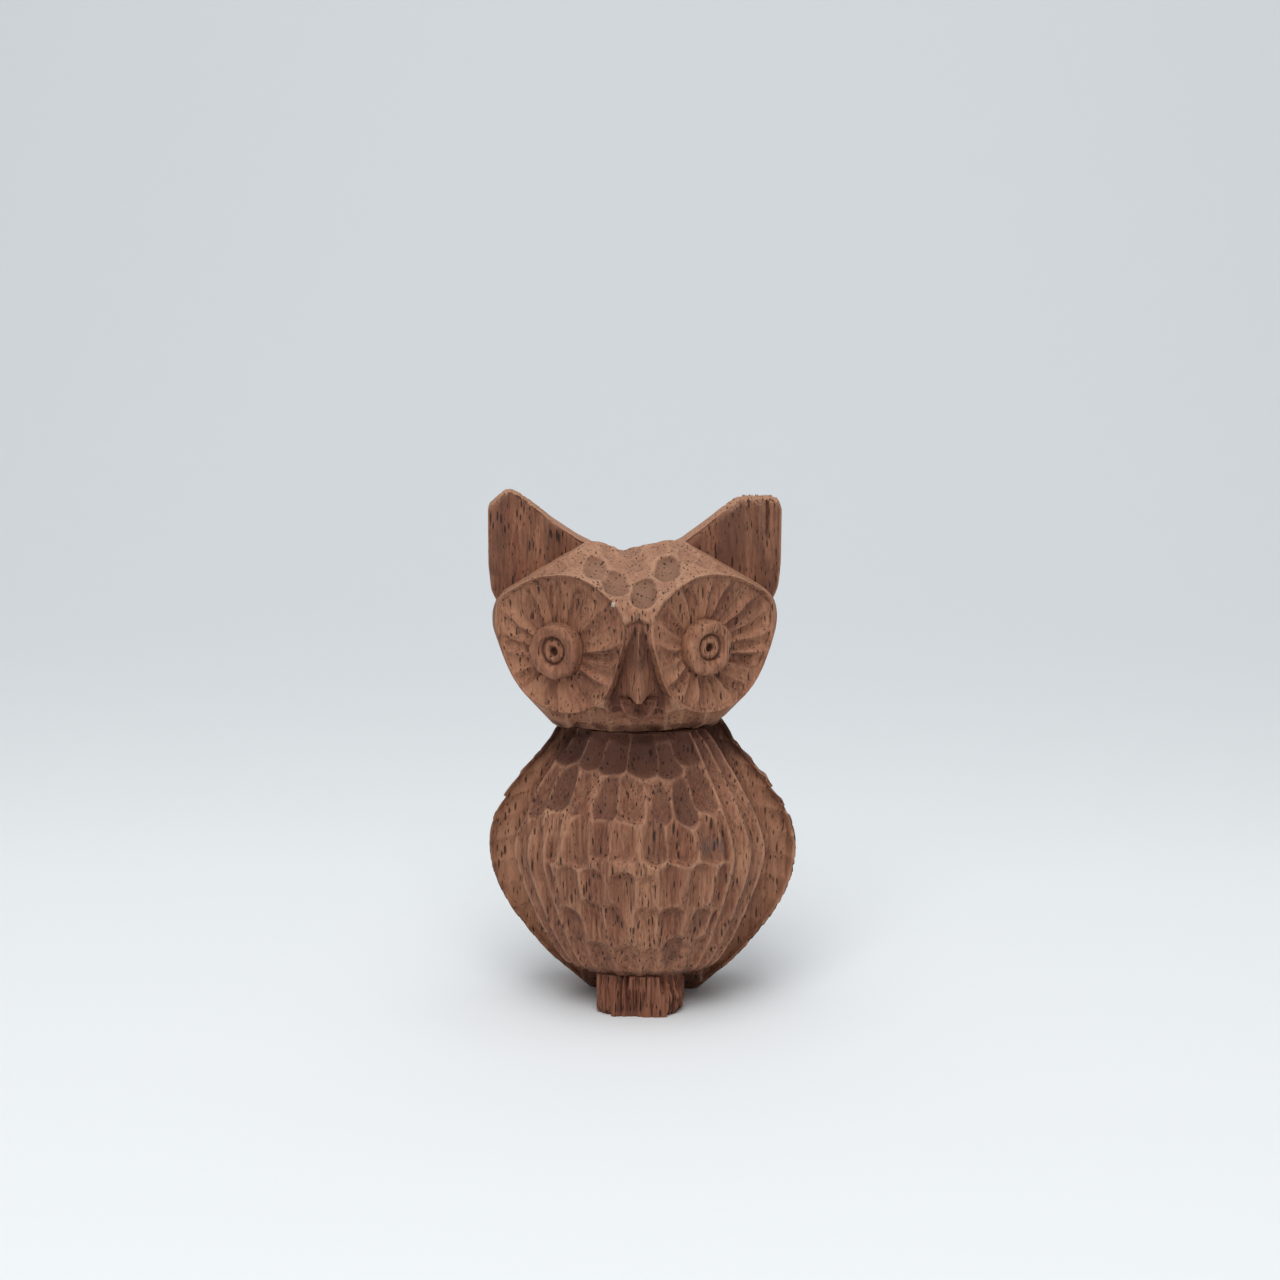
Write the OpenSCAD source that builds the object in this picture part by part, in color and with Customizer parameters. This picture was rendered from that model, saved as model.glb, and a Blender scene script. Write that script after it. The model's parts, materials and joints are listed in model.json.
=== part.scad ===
// Carved owl figurine, whittled from one block of coarse-grained hardwood.
// Millimetres. +Z is up, the owl looks along -Y and +X is the owl's left-hand side.
// The origin is on the floor, under the middle of the figure.
// The carving is a single block: each node is one carved feature of it, and
// neighbouring features meet face to face along the carver's cut lines.

/* [Body] */
// Height of the neck, where the body stops and the head begins
neck_h = 66; // [60:0.5:72]
// Width across the folded wings at their widest
wing_span = 72.2; // [68:0.2:78]
// Width of the breast between its side ridges
breast_w = 57.8; // [54:0.2:60]
// Distance from the middle of the figure to the front of the belly
belly_y = 24.4; // [22:0.1:26]
// Distance from the middle of the figure to the back of the wings
back_y = 24.5; // [23:0.1:28]

/* [Foot] */
// Width of the whittled foot block
foot_w = 20; // [16:0.5:24]
// Depth of the foot block, front to back
foot_d = 18; // [16:0.5:18.5]
// Height of the foot block, where the belly begins
foot_h = 9.5; // [8:0.5:11]

/* [Head] */
// Turn of the head towards the owl's left, in degrees
head_turn = 5; // [0:0.5:8]
// Sideways lean of the head towards the owl's right
head_shift = 1.6; // [0:0.1:3]
// Mean radius of each round facial disc
disc_r = 17; // [15.5:0.1:17.5]
// Angle that each facial disc is turned outwards, in degrees
disc_tilt = 32; // [28:0.5:36]
// Distance from the head's middle line to the centre of a facial disc
disc_x = 18; // [17.6:0.1:19]
// Height of the facial discs' centres
disc_z = 88; // [87:0.1:89]
// Radius of each raised eye
eye_r = 6.3; // [5.5:0.1:7]
// Radius of each drilled pupil
pupil_r = 1; // [0.6:0.1:1.4]
// Height of the tip of the right ear, which is the taller one
ear_tip_h = 120; // [116:0.5:124]
// Thickness of an ear at its root, front to back
ear_t = 11; // [9:0.5:12]

/* [Gouge] */
// Width of the gouge marks on the breast
gouge_w = 6.8; // [6:0.1:8]
// Depth of the gouge marks
gouge_depth = 0.95; // [0.4:0.05:1.2]
// Number of long feathers cut across the back of each wing
feathers = 12; // [8:1:14]

/* [Hidden] */
wood = "#7d5744";
dark_wood = "#5c3f38";

// Body outlines as [height, value], at the nominal neck height of 66 mm.
body_nominal = 66;
wing_outline = [[0, 0.355], [3, 0.44], [8, 0.59], [15, 0.753], [22, 0.885], [29, 0.97],
    [36.5, 1], [42.5, 0.973], [48, 0.909], [54, 0.795], [60, 0.645], [66, 0.535]];
breast_outline = [[9.5, 0.56], [13, 0.65], [18, 0.75], [25, 0.857], [31.5, 0.945],
    [38.5, 1], [46, 0.935], [53, 0.815], [65, 0.56], [66, 0.54]];
breast_front = [[9.5, 0.68], [20, 0.885], [32, 0.99], [39, 1], [49, 0.91], [59, 0.71],
    [66, 0.555]];
wing_front = [[0, 6.5], [5, 4.5], [10, 3], [20, 1.5], [30, 0.5], [40, -0.5], [52, -1.5],
    [66, 0]];
wing_back = [[0, 0.955], [8, 0.985], [20, 1], [36, 1], [48, 0.93], [58, 0.77], [66, 0.58]];
tail_outline = [[0, 6.6], [12, 6.2], [22, 4.2], [28, 0.6]];

body_layers = 36;
breast_edge_angle = 48; // of the breast's arc, from its middle to its side ridge
breast_columns = round(breast_w * PI * breast_edge_angle / 180 / sin(breast_edge_angle) / gouge_w);
breast_steps = 5; // points across one gouge mark
undercut = 2.2; // of the breast's sides, behind their ridges
wing_power = 2.2; // roundness of the wings' back
back_steps = 48;
feather_depth = 0.7;
wing_rim = 2.6; // width of the raised edge round a wing's front
wing_hollow = 1.3; // depth of the hollow between breast and rim

// Rows of gouge marks on the breast: [height of the rounded end, run of the cut].
// A positive run goes up from its rounded end, a negative one goes down.
breast_rows = [[57.6, 12], [47.4, 12], [37.4, 12.5], [38.6, -12], [28.6, -11], [19.8, -11]];
gouge_entry = 2.6; // length of a mark's steep rounded end

// Outline of a facial disc as [angle, radius], from its outer side anticlockwise over its top
disc_outline = [[0, 0.95], [25, 1.02], [48, 0.905], [80, 0.858], [105, 0.9], [133, 0.97],
    [160, 1.06], [195, 0.965], [230, 1.02], [268, 0.99], [300, 0.95], [335, 0.9], [360, 0.95]];
plate_t = 2.6; // thickness of a facial disc at its rim
dish = 1.5; // depth of the hollow in a facial disc
flutes = 22; // radial cuts in each facial disc
flute_depth = 0.55;
flute_steps = 4; // points across one flute
disc_steps = 6; // points from an eye to the rim
rim_w = 0.8; // width of the rounded rim of a facial disc
eye_raise = 1.3; // an eye's top above the rim of its disc
eye_at = [[0.8, -2.8], [-2.1, -1.9]]; // centre of the right and of the left eye on its disc
face_y = -12.6; // of a facial disc's centre
crest = [9.4, 0.5, 108.6]; // top of the left brow's highest swelling
brow_balls = [[24.8, 4, 90.5], [22.6, 4, 84], [13, 11.5, 92], [12, 11, 82]];
// Gouge marks down the forehead, as points on it
forehead_marks = [[-19.5, -7, 102], [-13.9, -6.6, 103.6], [-8.3, -9, 102.8], [-4.3, -13.5, 100.6],
    [1.2, -16.5, 99.1], [0, -7, 103.4], [6.9, -9.2, 102.8], [12.5, -6, 104], [19, -7, 102]];

// Ears seen from the front as [distance from the middle, height], from the outer root upwards
right_ear_outline = [[30, 91], [33, 97], [33.6, 103], [33.6, 116.2], [32, 117.8],
    [29.6, 120], [27.8, 120], [24.4, 117.6], [19.3, 113.2], [13.1, 108.9], [6.2, 105.2],
    [3, 103.2], [8, 99], [20, 91]];
left_ear_outline = [[30, 91], [33, 97], [33.6, 103], [33.8, 115.4], [32.8, 118.4],
    [24.4, 118.4], [22.7, 117.4], [17.4, 112.9], [11, 108], [3.8, 104.6], [1, 103],
    [8, 99], [20, 91]];
ear_root_z = 104;

function slope(p, i) = let (a = max(i - 1, 0), b = min(i + 1, len(p) - 1))
    (p[b][1] - p[a][1]) / (p[b][0] - p[a][0]);
// Smooth value at t of a curve through [position, value] pairs
function curve(p, t) = let (
        i = max([0, for (k = [0 : len(p) - 2]) if (t >= p[k][0]) k]),
        d = p[i + 1][0] - p[i][0],
        s = min(max((t - p[i][0]) / d, 0), 1))
    p[i][1] * (1 + 2 * s) * pow(1 - s, 2) + p[i + 1][1] * s * s * (3 - 2 * s)
    + d * (slope(p, i) * s * pow(1 - s, 2) + slope(p, i + 1) * s * s * (s - 1));
// Repeatable unevenness of a hand cut, from -0.5 to 0.5
function uneven(i) = let (v = i * 0.618034) v - floor(v) - 0.5;

layer_z = [for (i = [0 : body_layers]) neck_h * i / body_layers];
function nominal(z) = z * body_nominal / neck_h;
function wing_w(z) = wing_span / 2 * curve(wing_outline, nominal(z));
function breast_hw(z) = breast_w / 2 * curve(breast_outline, nominal(z));
function front_y(z) = -belly_y * curve(breast_front, nominal(z));
function seam_y(z) = curve(wing_front, nominal(z));
function wing_back_y(z) = back_y * curve(wing_back, nominal(z));
function tail_hw(z) = nominal(z) > 28 ? 0 : curve(tail_outline, nominal(z));

// Depth of one gouge mark at u across and v along it, from its rounded end
function mark(u, v, half, run) = let (
        s = v * sign(run),
        l = s > gouge_entry ? (s - gouge_entry) / abs(run) : (gouge_entry - s) / gouge_entry)
    s < 0 ? 0 : max(0, 1 - pow(u / half, 2) - l * l);
// Depth of the breast's gouge marks at an angle a on its arc and a height z
function breast_cut(a, z) = let (
        pitch = 2 * breast_edge_angle / breast_columns,
        c0 = floor((a + breast_edge_angle) / pitch))
    gouge_depth * max([0, for (r = [0 : len(breast_rows) - 1], c = [c0 - 1 : c0 + 1])
        if (c >= 0 && c < breast_columns)
        let (i = r * breast_columns + c,
            mid = (c + 0.5 + 0.22 * uneven(i)) * pitch - breast_edge_angle,
            z0 = (breast_rows[r][0] + 2.4 * uneven(3 * i + 1)) * neck_h / body_nominal)
        mark((a - mid) / pitch, z - z0, 0.62, breast_rows[r][1])]);
// Depth of the feather cuts at a distance x from the middle of the back
function feather_cut(x, z) = let (
        s = abs(x) * feathers / (wing_span / 2) + 0.012 * nominal(z),
        fade = min(max((nominal(z) - 3) / 6, 0), 1) * min(max((58 - nominal(z)) / 14, 0), 1))
    feather_depth * fade * pow(2 * abs(s - floor(s) - 0.5), 1.6);

function turned(ring) = [for (i = [len(ring) - 1 : -1 : 0]) ring[i]];

// A closed solid through rings of equally many points that run anticlockwise seen from above
module skin(rings, middles) {
    n = len(rings[0]);
    last = len(rings) - 1;
    low = n * len(rings);
    points = concat([for (r = rings) each r], [middles[0], middles[1]]);
    sides = [for (i = [0 : last - 1], j = [0 : n - 1])
        let (a = i * n + j, b = i * n + (j + 1) % n) each [[a, a + n, b], [b, a + n, b + n]]];
    caps = [for (j = [0 : n - 1])
        let (k = (j + 1) % n) each [[low, j, k], [low + 1, last * n + k, last * n + j]]];
    polyhedron(points, concat(sides, caps), convexity = 8);
}

function breast_ring(z) = let (
        w = breast_hw(z), r = w / sin(breast_edge_angle), y0 = front_y(z),
        n = breast_columns * breast_steps)
    [[w - undercut, seam_y(z), z],
        for (i = [0 : n]) let (
            a = breast_edge_angle * (1 - 2 * i / n), k = r - breast_cut(a, z))
        [k * sin(a), y0 + r - k * cos(a), z],
        [undercut - w, seam_y(z), z]];

// Half of the section through the wings: the hollow front, the rim, then the rounded back
function wing_ring(z) = let (
        w = wing_w(z), x0 = tail_hw(z), y0 = seam_y(z), y1 = wing_back_y(z),
        x1 = min(max(x0 + 0.5, breast_hw(z) - undercut), w - wing_rim - 1),
        hollow = wing_hollow * min(1, (w - wing_rim - x1) / 4),
        t1 = acos(pow(x0 / w, wing_power / 2)))
    [[x0, y0, z], [x1, y0, z],
        [(x1 + w - wing_rim) / 2, y0 + max(hollow, 0), z],
        [w - 0.8, y0, z],
        for (i = [0 : back_steps]) let (
            t = t1 * i / back_steps,
            c = pow(cos(t), 2 / wing_power), s = pow(sin(t), 2 / wing_power),
            d = feather_cut(w * c, z) * min(1, (w * c - x0) / 2, (w - w * c) / 2))
        [w * c - d * cos(t), y0 + 0.8 + (y1 - y0 - 0.8) * s - d * sin(t), z]];

function tail_ring(z) = let (
        w = tail_hw(z), y0 = seam_y(z), yb = wing_back_y(z),
        edge = y0 + 0.8 + (yb - y0 - 0.8)
            * pow(1 - pow(w / wing_w(z), wing_power), 1 / wing_power))
    [[-w, y0, z], [w, y0, z], [w, edge, z],
        for (i = [1 : 11]) let (s = 1 - i / 6)
        [w * s, edge + 0.5 * (1 - pow(s, 4)) - 0.5 * pow(cos(270 * s), 2), z],
        [-w, edge, z]];

module breast() color(wood) {
    z = [for (h = layer_z) if (h > foot_h + 0.5) h];
    rings = [for (h = concat([foot_h], z)) turned(breast_ring(h))];
    skin(rings, [[0, -2, foot_h], [0, -2, neck_h]]);
}

module wing(side) color(wood) scale([side, 1, 1])
    skin([for (h = layer_z) wing_ring(h)], [[11, 21, 0], [9, 6, neck_h]]);

module tail() color(wood) {
    rings = [for (h = layer_z) if (tail_hw(h) > 0.5) tail_ring(h)];
    top = rings[len(rings) - 1];
    skin(rings, [[0, 21, 0], [0, (top[0][1] + top[2][1]) / 2, top[0][2]]]);
}

// Plan of the foot, with the torn fibres' notches along its front
function foot_plan() = let (w = foot_w / 2, y0 = -16, y1 = y0 + foot_d)
    [[-w, y0 + 7], [-w + 0.5, y0 + 3], [-w + 2.2, y0 + 1],
        for (i = [0 : 14]) let (x = -w + 3 + i * (2 * w - 6) / 14)
        [x, y0 + 0.9 * pow(x / w, 2) + (i % 2) * (0.45 + 0.5 * uneven(i))],
        [w - 2.2, y0 + 1], [w - 0.5, y0 + 3], [w, y0 + 7], [w - 0.6, y1 - 2], [w - 3, y1],
        [3 - w, y1], [0.6 - w, y1 - 2]];

module foot_block() color(dark_wood) linear_extrude(foot_h) polygon(foot_plan());

// Places its children in the head's own frame
module in_head() translate([-head_shift, 0, 0]) rotate(head_turn) children();

// Places its children on a facial disc, whose front then lies in the XY plane with +X outwards
module on_disc(side) translate([side * disc_x, face_y, disc_z])
    rotate([0, 0, side * disc_tilt]) rotate([90, 0, 0]) scale([side, 1, 1]) children();

// The rim of a facial disc at an angle a
function rim(a) = disc_r * curve(disc_outline, a) * [cos(a), sin(a)];

module disc_blank(depth, height) translate([0, 0, -depth]) linear_extrude(depth + height)
    polygon([for (i = [0 : flutes * flute_steps - 1]) rim(360 * i / (flutes * flute_steps))]);

// Section through a facial disc from the eye's edge to the rim, at step i round the eye
function disc_section(i, eye) = let (
        a = 360 * i / (flutes * flute_steps),
        inner = eye + eye_r * [cos(a), sin(a)],
        outer = rim(a), lip = outer * (1 - rim_w / disc_r),
        u = 2 * (i % flute_steps) / flute_steps - 1,
        cut = flute_depth * (1 - u * u) * (1 + 0.6 * uneven(floor(i / flute_steps))))
    [[inner[0], inner[1], -plate_t],
        for (k = [0 : disc_steps]) let (
            s = k / disc_steps, q = inner + (lip - inner) * s,
            d = dish * (1 - s * s) + cut * (k == 0 ? 0.3 : k == disc_steps ? 0.35 : 1))
        [q[0], q[1], -d],
        [outer[0], outer[1], -rim_w - 0.3 * cut], [outer[0], outer[1], -plate_t]];

// The head as it is roughed out, before any gouge marks
module head_form() hull() {
    for (side = [-1, 1]) {
        on_disc(side) disc_blank(plate_t, 0);
        for (p = brow_balls) translate([side * p[0], p[1], p[2]]) sphere(8.4, $fn = 32);
        translate([side * crest[0], crest[1], crest[2] - 5]) sphere(5, $fn = 32);
    }
    translate([0, 1, neck_h]) linear_extrude(0.1) scale([19.2, 13.6]) circle(1, $fn = 48);
}

// One gouge mark at p, cut along direction t into a surface that faces n
module gouge_mark(p, n, t, length = 5, r = 7, depth = gouge_depth) {
    middle = p + n / norm(n) * (r - depth);
    hull() for (k = [-0.5, 0.5])
        translate(middle + t / norm(t) * length * k) sphere(r, $fn = 24);
}

// Marks down the forehead, beside the beak, then round the back of the skull
module head_marks() {
    gouge_mark([-1.6, 0, crest[2]], [0, -0.2, 1], [0, 1, 0], 14, 9, 1.9);
    for (p = forehead_marks) gouge_mark(p, [0, -0.45, 0.9], [0, 0.9, 0.45], 5, 4.6);
    for (side = [-1, 1]) hull() {
        translate([side * 2.4, -21.7, 90]) sphere(0.5, $fn = 16);
        translate([side * 5.2, -20.6, 76]) sphere(1.3, $fn = 16);
    }
    for (row = [0 : 3], c = [0 : 7]) let (
            i = 30 + row * 8 + c, z = 72 + row * 8.6 + 2 * uneven(i),
            w = 24 + 8.6 * min(row, 2.5) / 2.5, a = 8 + 23.4 * c + 5 * uneven(2 * i + 1),
            t = [cos(a) * w, 3 + sin(a) * (13 + 1.8 * row), z])
        gouge_mark(t, [cos(a) / w, sin(a) / 18, (z - 86) / 700], [0, 0, 1], 5, 7, 1.1);
}

module head() color(wood) difference() {
    in_head() difference() {
        head_form();
        head_marks();
        beak_form();
        chin_form();
        for (side = [-1, 1]) {
            on_disc(side) disc_blank(plate_t, 9);
            ear_form(side);
        }
    }
    translate([-50, -50, neck_h - 20]) cube([100, 100, 20]);
}

module face_disc(side) color(wood) in_head() on_disc(side) {
    n = flutes * flute_steps;
    sections = [for (i = [0 : n - 1]) disc_section(i, eye_at[side < 0 ? 0 : 1])];
    m = len(sections[0]);
    faces = [for (i = [0 : n - 1], k = [0 : m - 1]) let (
            a = i * m + k, b = i * m + (k + 1) % m,
            c = ((i + 1) % n) * m + k, d = ((i + 1) % n) * m + (k + 1) % m)
        each [[a, c, b], [b, c, d]]];
    polyhedron([for (t = sections) each t], faces, convexity = 8);
}

// A raised eye with a ring groove and a blind drilled pupil
module eye(side) color(wood) in_head() on_disc(side)
    translate(concat(eye_at[side < 0 ? 0 : 1], [0])) difference() {
        rotate_extrude($fn = 64) polygon([[0, -plate_t], [eye_r, -plate_t],
            [eye_r, eye_raise - 0.4], [eye_r - 0.7, eye_raise], [0, eye_raise]]);
        translate([0, 0, eye_raise]) rotate_extrude($fn = 48)
            translate([2.9, 0]) circle(0.45, $fn = 16);
        translate([0, 0, eye_raise - 1.8]) cylinder(r = pupil_r, h = 4, $fn = 32);
    }

// A ridged wedge between the discs, let into the head as far as their backs
module beak_form() {
    points = [[-1.5, -18, 91.6], [1.5, -18, 91.6], [0, -22, 91.2],
        [-3.7, -18, 84], [3.7, -18, 84], [0, -23.6, 84.6],
        [-4, -16.5, 76.8], [4, -16.5, 76.8], [0.7, -25.1, 75.6], [-0.7, -25.1, 75.6]];
    hull() polyhedron(points, [[0, 1, 2], [0, 3, 4, 1], [1, 4, 5, 2], [2, 5, 3, 0], [3, 6, 7, 4],
        [4, 7, 8, 5], [5, 8, 9], [5, 9, 6, 3], [6, 9, 8, 7]]);
}

module beak() color(wood) in_head() beak_form();

module chin_form() translate([0, -15, 75.6]) rotate([90, 0, 0]) intersection() {
    cylinder(r1 = 4.6, r2 = 4, h = 7.4, $fn = 48);
    translate([-6, -5, 0]) cube([12, 5, 8]);
}

module chin() color(wood) in_head() difference() {
    chin_form();
    for (side = [-1, 1]) translate([side * 2.4, -23.2, 75.8]) sphere(1.7, $fn = 32);
}

// An ear, thick at its root and thin at its tip
module ear_form(side) intersection() {
    outline = [for (p = side < 0 ? right_ear_outline : left_ear_outline)
        [p[0], p[1] < ear_root_z ? p[1]
            : ear_root_z + (p[1] - ear_root_z) * (ear_tip_h - ear_root_z) / 16]];
    translate([0, 20, 0]) rotate([90, 0, 0]) linear_extrude(20) scale([side, 1]) polygon(outline);
    translate([-50, 0, 80]) rotate([90, 0, 90]) linear_extrude(100)
        polygon([[0.2, 0], [0.2, 20], [2.6, 50], [5.4, 50], [0.2 + ear_t, 20], [0.2 + ear_t, 0]]);
}

module ear(side) color(wood) in_head() ear_form(side);

foot_block();
breast();
wing(-1);  // right_wing
wing(1);  // left_wing
tail();
head();
face_disc(-1);  // right_face_disc
face_disc(1);  // left_face_disc
eye(-1);  // right_eye
eye(1);  // left_eye
beak();
chin();
ear(-1);  // right_ear
ear(1);  // left_ear
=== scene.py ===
"""A small owl carved with gouges from one block of open-pored, reddish-brown hardwood.

All sizes in this script are in millimetres until a finished piece is scaled to metres.
The owl looks along -Y, +Z is up, and its own left-hand side is at +X.
"""

from __future__ import annotations

import json
import logging
import math
from collections.abc import Iterator
from dataclasses import dataclass, field
from enum import Enum
from itertools import chain

import bmesh
import bpy
import numpy as np
from mathutils import Matrix, Vector

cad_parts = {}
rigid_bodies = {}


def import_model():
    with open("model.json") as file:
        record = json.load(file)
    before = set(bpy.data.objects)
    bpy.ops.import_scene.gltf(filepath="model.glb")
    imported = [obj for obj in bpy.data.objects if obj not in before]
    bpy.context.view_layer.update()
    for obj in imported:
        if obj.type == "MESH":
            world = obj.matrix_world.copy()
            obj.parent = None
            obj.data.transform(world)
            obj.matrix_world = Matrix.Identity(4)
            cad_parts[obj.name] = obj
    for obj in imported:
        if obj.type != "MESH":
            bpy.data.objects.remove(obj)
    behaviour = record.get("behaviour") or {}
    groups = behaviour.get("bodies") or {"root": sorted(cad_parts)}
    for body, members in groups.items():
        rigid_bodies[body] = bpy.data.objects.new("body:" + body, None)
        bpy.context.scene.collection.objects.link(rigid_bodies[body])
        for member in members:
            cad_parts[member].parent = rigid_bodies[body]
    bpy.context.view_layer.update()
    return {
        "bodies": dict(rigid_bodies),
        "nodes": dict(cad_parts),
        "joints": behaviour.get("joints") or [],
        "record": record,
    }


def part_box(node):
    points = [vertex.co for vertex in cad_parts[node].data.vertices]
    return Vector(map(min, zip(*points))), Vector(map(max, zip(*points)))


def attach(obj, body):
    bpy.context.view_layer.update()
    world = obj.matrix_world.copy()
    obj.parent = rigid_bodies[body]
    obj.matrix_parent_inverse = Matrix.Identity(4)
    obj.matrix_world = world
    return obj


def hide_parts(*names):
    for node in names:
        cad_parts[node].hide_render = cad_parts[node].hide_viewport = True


LOG = logging.getLogger("owl")
MM = 0.001
GOLDEN = 0.618034

Triple = tuple[float, float, float]
Curve = list[tuple[float, float]]
Frame = dict[str, dict[str, bpy.types.Object]]
Socket = bpy.types.NodeSocket
Value = Socket | float
Coloured = Socket | Triple
Spot = tuple[float, float, float, float]


class Side(Enum):
    """The owl's own right or left, with the sign of its X."""

    RIGHT = -1
    LEFT = 1

    @property
    def word(self) -> str:
        """The word that names of pieces on this side start with."""
        return self.name.lower()


# ---------------------------------------------------------------- numbers by hand


def uneven(i: np.ndarray | float) -> np.ndarray | float:
    """Give the repeatable unevenness of a hand cut.

    Args:
        i: The number of the cut.

    Returns:
        A value from -0.5 to 0.5.
    """
    v = np.asarray(i) * GOLDEN
    return v - np.floor(v) - 0.5


def smooth(edge0: float, edge1: float, x: np.ndarray) -> np.ndarray:
    """Ease from 0 at edge0 to 1 at edge1.

    Args:
        edge0: Where the value is 0.
        edge1: Where the value is 1.
        x: Positions.

    Returns:
        The eased values.
    """
    t = np.clip((x - edge0) / (edge1 - edge0), 0.0, 1.0)
    return t * t * (3.0 - 2.0 * t)


def profile(pairs: Curve, t: np.ndarray) -> np.ndarray:
    """Read a smooth curve through pairs of position and value.

    Args:
        pairs: Positions, rising, each with its value.
        t: Positions to read the curve at.

    Returns:
        The values of the curve.
    """
    x = np.array([p[0] for p in pairs], float)
    y = np.array([p[1] for p in pairs], float)
    lo, hi = np.maximum(np.arange(len(x)) - 1, 0), np.minimum(np.arange(len(x)) + 1, len(x) - 1)
    m = (y[hi] - y[lo]) / (x[hi] - x[lo])
    t = np.asarray(t, float)
    i = np.clip(np.searchsorted(x, t, side="right") - 1, 0, len(x) - 2)
    d = x[i + 1] - x[i]
    s = np.clip((t - x[i]) / d, 0.0, 1.0)
    return (
        y[i] * (1 + 2 * s) * (1 - s) ** 2
        + y[i + 1] * s * s * (3 - 2 * s)
        + d * (m[i] * s * (1 - s) ** 2 + m[i + 1] * s * s * (s - 1))
    )


def lattice_value(ix: np.ndarray, iy: np.ndarray, iz: np.ndarray, seed: int) -> np.ndarray:
    """Hash the corners of a lattice to values from 0 to 1.

    Args:
        ix: Whole steps along X.
        iy: Whole steps along Y.
        iz: Whole steps along Z.
        seed: Picks one of many patterns.

    Returns:
        A value for each corner.
    """
    v = np.sin(ix * 127.1 + iy * 311.7 + iz * 74.7 + seed * 53.3) * 43758.5453
    return v - np.floor(v)


def noise(p: np.ndarray, scale: Triple, seed: int) -> np.ndarray:
    """Read smooth solid noise, which may be stretched along the grain.

    Args:
        p: Points, one to a row, in millimetres.
        scale: Size of the noise's features along each axis.
        seed: Picks one of many patterns.

    Returns:
        Values from -1 to 1.
    """
    q = p / np.array(scale)
    base = np.floor(q)
    f = q - base
    f = f * f * (3 - 2 * f)
    out = np.zeros(len(p))
    for dx in (0, 1):
        for dy in (0, 1):
            for dz in (0, 1):
                w = (
                    (f[:, 0] if dx else 1 - f[:, 0])
                    * (f[:, 1] if dy else 1 - f[:, 1])
                    * (f[:, 2] if dz else 1 - f[:, 2])
                )
                out += w * lattice_value(base[:, 0] + dx, base[:, 1] + dy, base[:, 2] + dz, seed)
    return 2 * out - 1


# ---------------------------------------------------------------- one piece of the carving


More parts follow.
